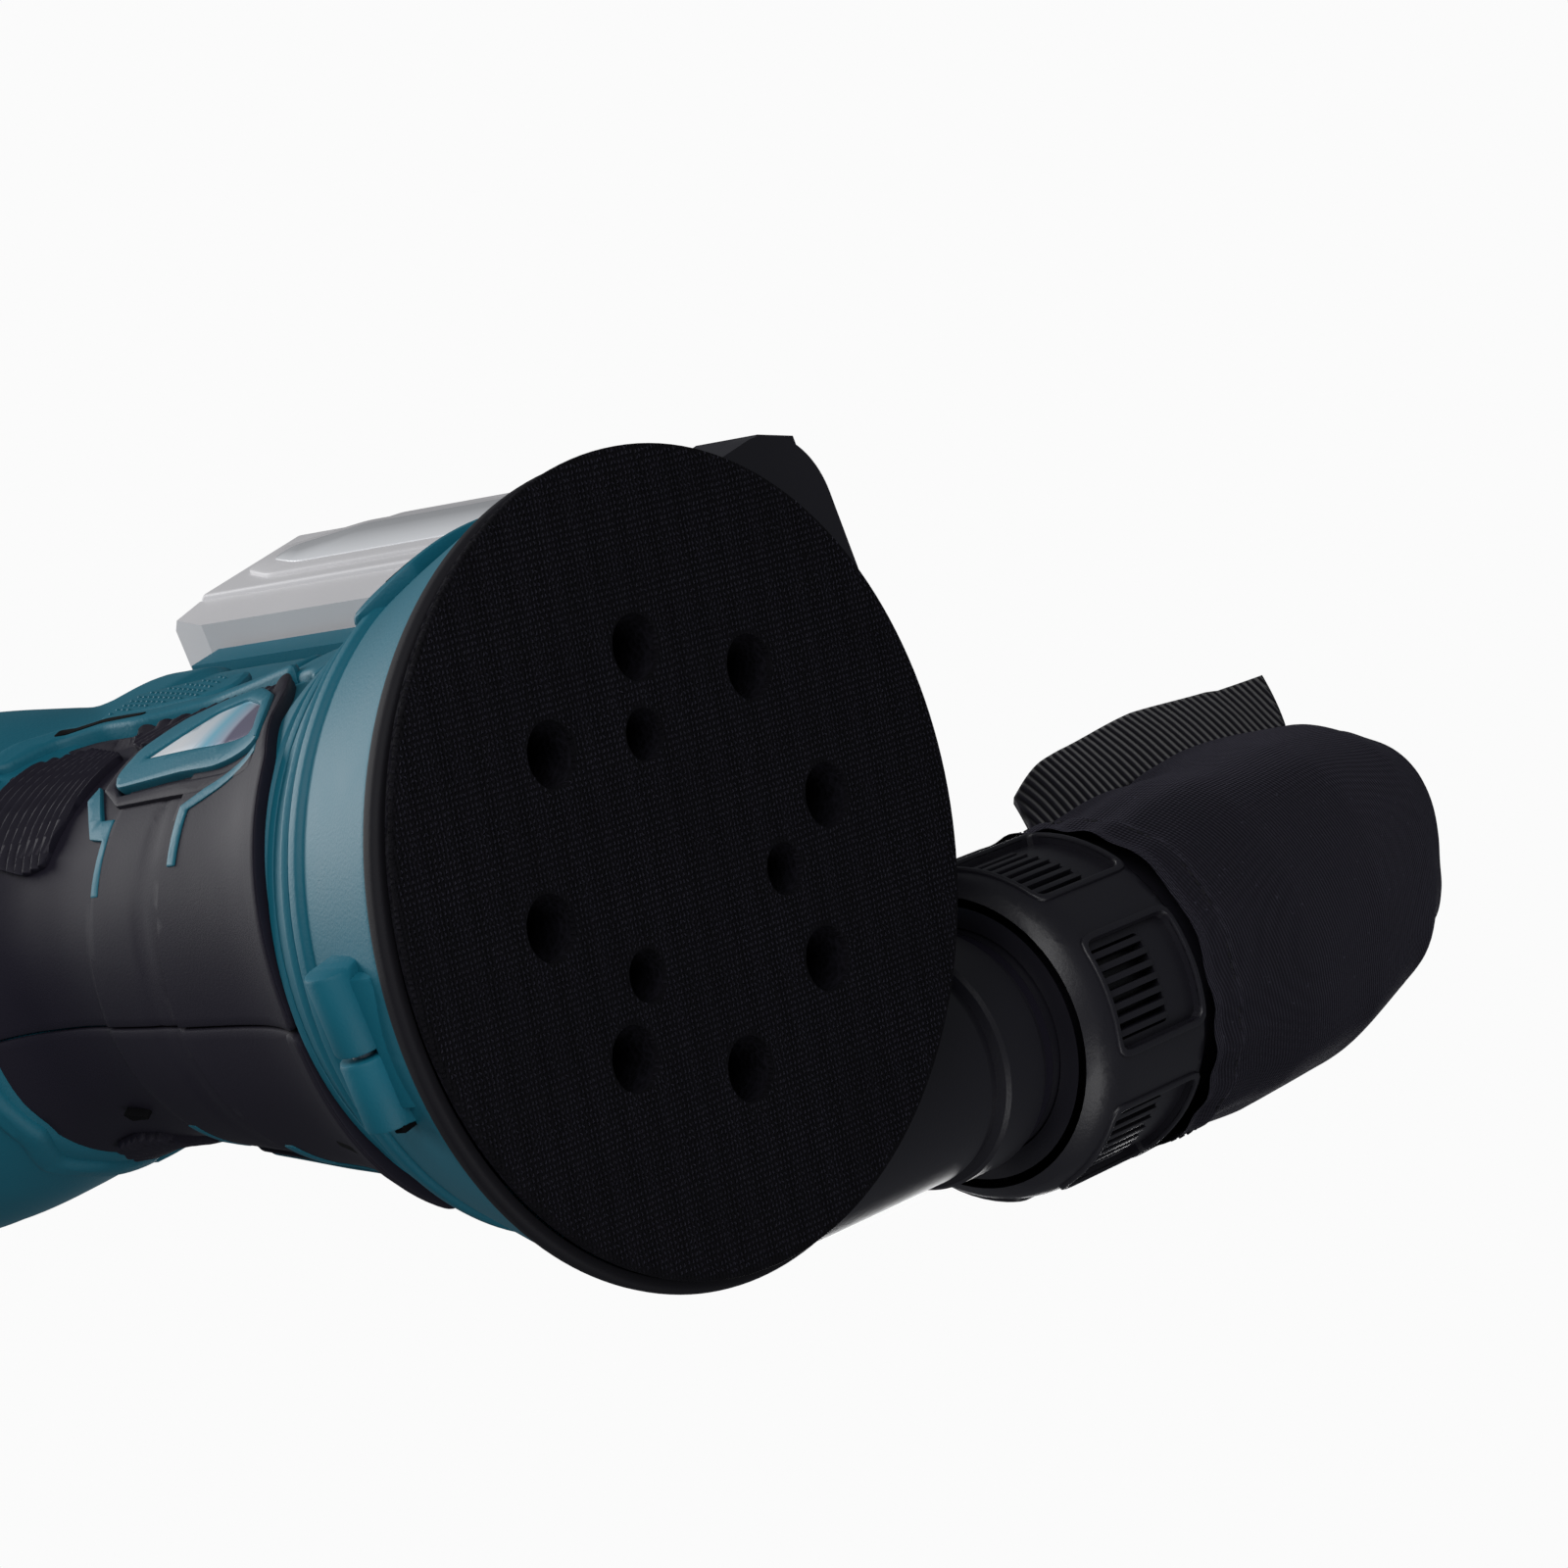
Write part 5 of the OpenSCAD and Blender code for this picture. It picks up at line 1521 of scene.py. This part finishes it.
def finish_cad():
    """Gives every CAD node that still shows its finish, from the record's slots."""
    slots = {row["node"]: row["material_slot"] for row in frame["record"]["subparts"]}
    for name, node in frame["nodes"].items():
        finish = SLOT_FINISH[slots[name]]
        if name == "battery_rails":
            finish = "shell"
        node.data.materials.clear()
        node.data.materials.append(MATERIALS[finish])


def pale_floor_material():
    """Matt white paper, shown from above only, so that a view from below sees past it."""
    material, tree, shader, place = start_material("Paper_matt_white", Roughness=0.9)
    shader.inputs["Base Color"].default_value = linear("#E4E4E6")
    # Paper lit from all round: a little light of its own keeps it pale under small lamps.
    shader.inputs["Emission Color"].default_value = linear("#FBFBFB")
    shader.inputs["Emission Strength"].default_value = 0.45
    grain = add_node(tree, "TexNoise", {"Vector": place, "Scale": 1 / 40, "Detail": 4.0})
    set_relief(tree, shader, grain.outputs["Fac"], 0.02)
    side = add_node(tree, "NewGeometry")
    clear = add_node(tree, "BsdfTransparent")
    out = next(n for n in tree.nodes if n.type == "OUTPUT_MATERIAL")
    mix = add_node(
        tree, "MixShader", {
            "Fac": side.outputs["Backfacing"], 1: shader.outputs["BSDF"], 2: clear.outputs["BSDF"]
        }
    )
    tree.links.new(mix.outputs["Shader"], out.inputs["Surface"])
    return material


def add_light(name, place, target, size, power, colour="#FFFFFF"):
    """A soft area light at a place in millimetres, turned to a target."""
    data = bpy.data.lights.new(name, "AREA")
    data.shape = "DISK"
    data.size = size * MM
    data.energy = power
    data.color = linear(colour)[:3]
    lamp = bpy.data.objects.new(name, data)
    way = (Vector(target) - Vector(place)).to_track_quat("-Z", "Y")
    lamp.matrix_world = Matrix.Translation(Vector(place) * MM) @ way.to_matrix().to_4x4()
    bpy.context.scene.collection.objects.link(lamp)
    return lamp


def make_stage():
    """Near-white surroundings, a pale floor, soft lights and the camera."""
    scene = bpy.context.scene
    scene.view_settings.view_transform = "Standard"
    world = bpy.data.worlds.new("Studio")
    scene.world = world
    world.use_nodes = True
    tree = world.node_tree
    tree.nodes.clear()
    seen = add_node(tree, "LightPath")
    backdrop = add_node(tree, "Background", {"Color": linear("#FBFBFB"), "Strength": 1.0})
    ambient = add_node(tree, "Background", {"Color": linear("#E8ECF4"), "Strength": 0.12})
    mix = add_node(
        tree,
        "MixShader",
        {
            "Fac": seen.outputs["Is Camera Ray"],
            1: ambient.outputs["Background"], 2: backdrop.outputs["Background"]
        },
    )
    add_node(tree, "OutputWorld", {"Surface": mix.outputs["Shader"]})

    bm = bmesh.new()
    bmesh.ops.create_grid(bm, x_segments=8, y_segments=8, size=0.9)
    mesh = bpy.data.meshes.new("floor")
    bm.to_mesh(mesh)
    bm.free()
    mesh.materials.append(pale_floor_material())
    floor = bpy.data.objects.new("floor", mesh)
    scene.collection.objects.link(floor)
    floor.visible_diffuse = False
    floor.visible_glossy = False
    floor.visible_transmission = False
    floor.visible_shadow = False

    middle = (0, 10, 60)
    add_light("key_light", (700, -500, -330), middle, 800, 5.2)
    add_light("rim_light", (300, -100, 800), middle, 500, 4.5)
    add_light("fill_light", (-520, -420, -520), middle, 520, 1.8)
    add_light("back_light", (-400, 700, 500), middle, 500, 3.0)

    data = bpy.data.cameras.new("camera")
    data.lens = 112.5
    data.sensor_width = 36
    data.clip_start = 0.02
    data.clip_end = 20
    camera = bpy.data.objects.new("camera", data)
    right = Vector((-0.34399, 0.56155, -0.75255))
    up = Vector((0.89884, 0.42873, -0.09095))
    back = right.cross(up)
    turn = Matrix((right, up, back)).transposed().to_4x4()
    camera.matrix_world = Matrix.Translation(Vector((201.52, -495.04, -478.45)) * MM) @ turn
    scene.collection.objects.link(camera)
    scene.camera = camera


# ---------------------------------------------------------------- Operators


class SANDER_OT_finishes(bpy.types.Operator):
    """Make every material and give the CAD pieces theirs"""

    bl_idname = "sander.finishes"
    bl_label = "Finishes"

    def execute(self, context):
        make_materials(context.scene.sander_colours)
        finish_cad()
        return {"FINISHED"}


class SANDER_OT_housing(bpy.types.Operator):
    """Make the moulded shells, the flank panels, the chin and the palm cap"""

    bl_idname = "sander.housing"
    bl_label = "Housing"

    def execute(self, context):
        make_shells()
        make_flank_panels()
        make_chin(context.scene.sander_sizes)
        make_palm()
        make_button_frame()
        return {"FINISHED"}


class SANDER_OT_skins(bpy.types.Operator):
    """Make the soft skins with their accents, badges, grips and louvres"""

    bl_idname = "sander.skins"
    bl_label = "Skins"

    def execute(self, context):
        sizes = context.scene.sander_sizes
        make_skins(sizes)
        make_accents(sizes)
        make_badges(sizes)
        make_grips(sizes)
        return {"FINISHED"}


class SANDER_OT_base(bpy.types.Operator):
    """Make the clamp band with its boss, and the rubber lip"""

    bl_idname = "sander.base"
    bl_label = "Clamp band and lip"

    def execute(self, context):
        make_band()
        make_lip()
        return {"FINISHED"}


class SANDER_OT_outlet(bpy.types.Operator):
    """Make the duct and the nozzle ring"""

    bl_idname = "sander.outlet"
    bl_label = "Dust outlet"

    def execute(self, context):
        make_duct()
        make_nozzle_ring(context.scene.sander_sizes)
        return {"FINISHED"}


class SANDER_OT_bag(bpy.types.Operator):
    """Make the cloth dust bag and its closing flap"""

    bl_idname = "sander.bag"
    bl_label = "Dust bag"

    def execute(self, context):
        make_bag(context.scene.sander_sizes)
        flap = make_flap()
        return {"FINISHED"}


class SANDER_OT_pad(bpy.types.Operator):
    """Make the pad's foam, hook ground and hooks"""

    bl_idname = "sander.pad"
    bl_label = "Pad"

    def execute(self, context):
        make_pad()
        make_hooks(context.scene.sander_sizes)
        return {"FINISHED"}


class SANDER_OT_battery(bpy.types.Operator):
    """Make the battery's case, plates and label films"""

    bl_idname = "sander.battery"
    bl_label = "Battery"

    def execute(self, context):
        make_battery()
        return {"FINISHED"}


class SANDER_OT_stage(bpy.types.Operator):
    """Set the floor, the lights and the camera"""

    bl_idname = "sander.stage"
    bl_label = "Stage"

    def execute(self, context):
        make_stage()
        return {"FINISHED"}


class SANDER_PT_panel(bpy.types.Panel):
    """Lists the sizes, the colours and the pieces"""

    bl_idname = "SANDER_PT_panel"
    bl_label = "Orbital sander"
    bl_space_type = "VIEW_3D"
    bl_region_type = "UI"
    bl_category = "Sander"

    def draw(self, context):
        layout = self.layout
        for group in (context.scene.sander_sizes, context.scene.sander_colours):
            for name in group.__annotations__:
                layout.prop(group, name)
        for operator in OPERATORS:
            layout.operator(operator.bl_idname)


OPERATORS = (
    SANDER_OT_finishes,
    SANDER_OT_housing,
    SANDER_OT_skins,
    SANDER_OT_base,
    SANDER_OT_outlet,
    SANDER_OT_bag,
    SANDER_OT_pad,
    SANDER_OT_battery,
    SANDER_OT_stage,
)
CLASSES = (SanderSizes, SanderColours, *OPERATORS, SANDER_PT_panel)


def register():
    for cls in CLASSES:
        bpy.utils.register_class(cls)
    bpy.types.Scene.sander_sizes = PointerProperty(type=SanderSizes)
    bpy.types.Scene.sander_colours = PointerProperty(type=SanderColours)


def unregister():
    del bpy.types.Scene.sander_sizes
    del bpy.types.Scene.sander_colours
    for cls in reversed(CLASSES):
        bpy.utils.unregister_class(cls)


def main():
    register()
    bpy.ops.sander.finishes()
    bpy.ops.sander.housing()
    bpy.ops.sander.skins()
    bpy.ops.sander.base()
    bpy.ops.sander.outlet()
    bpy.ops.sander.bag()
    bpy.ops.sander.pad()
    bpy.ops.sander.battery()
    bpy.ops.sander.stage()


if __name__ == "__main__":
    main()
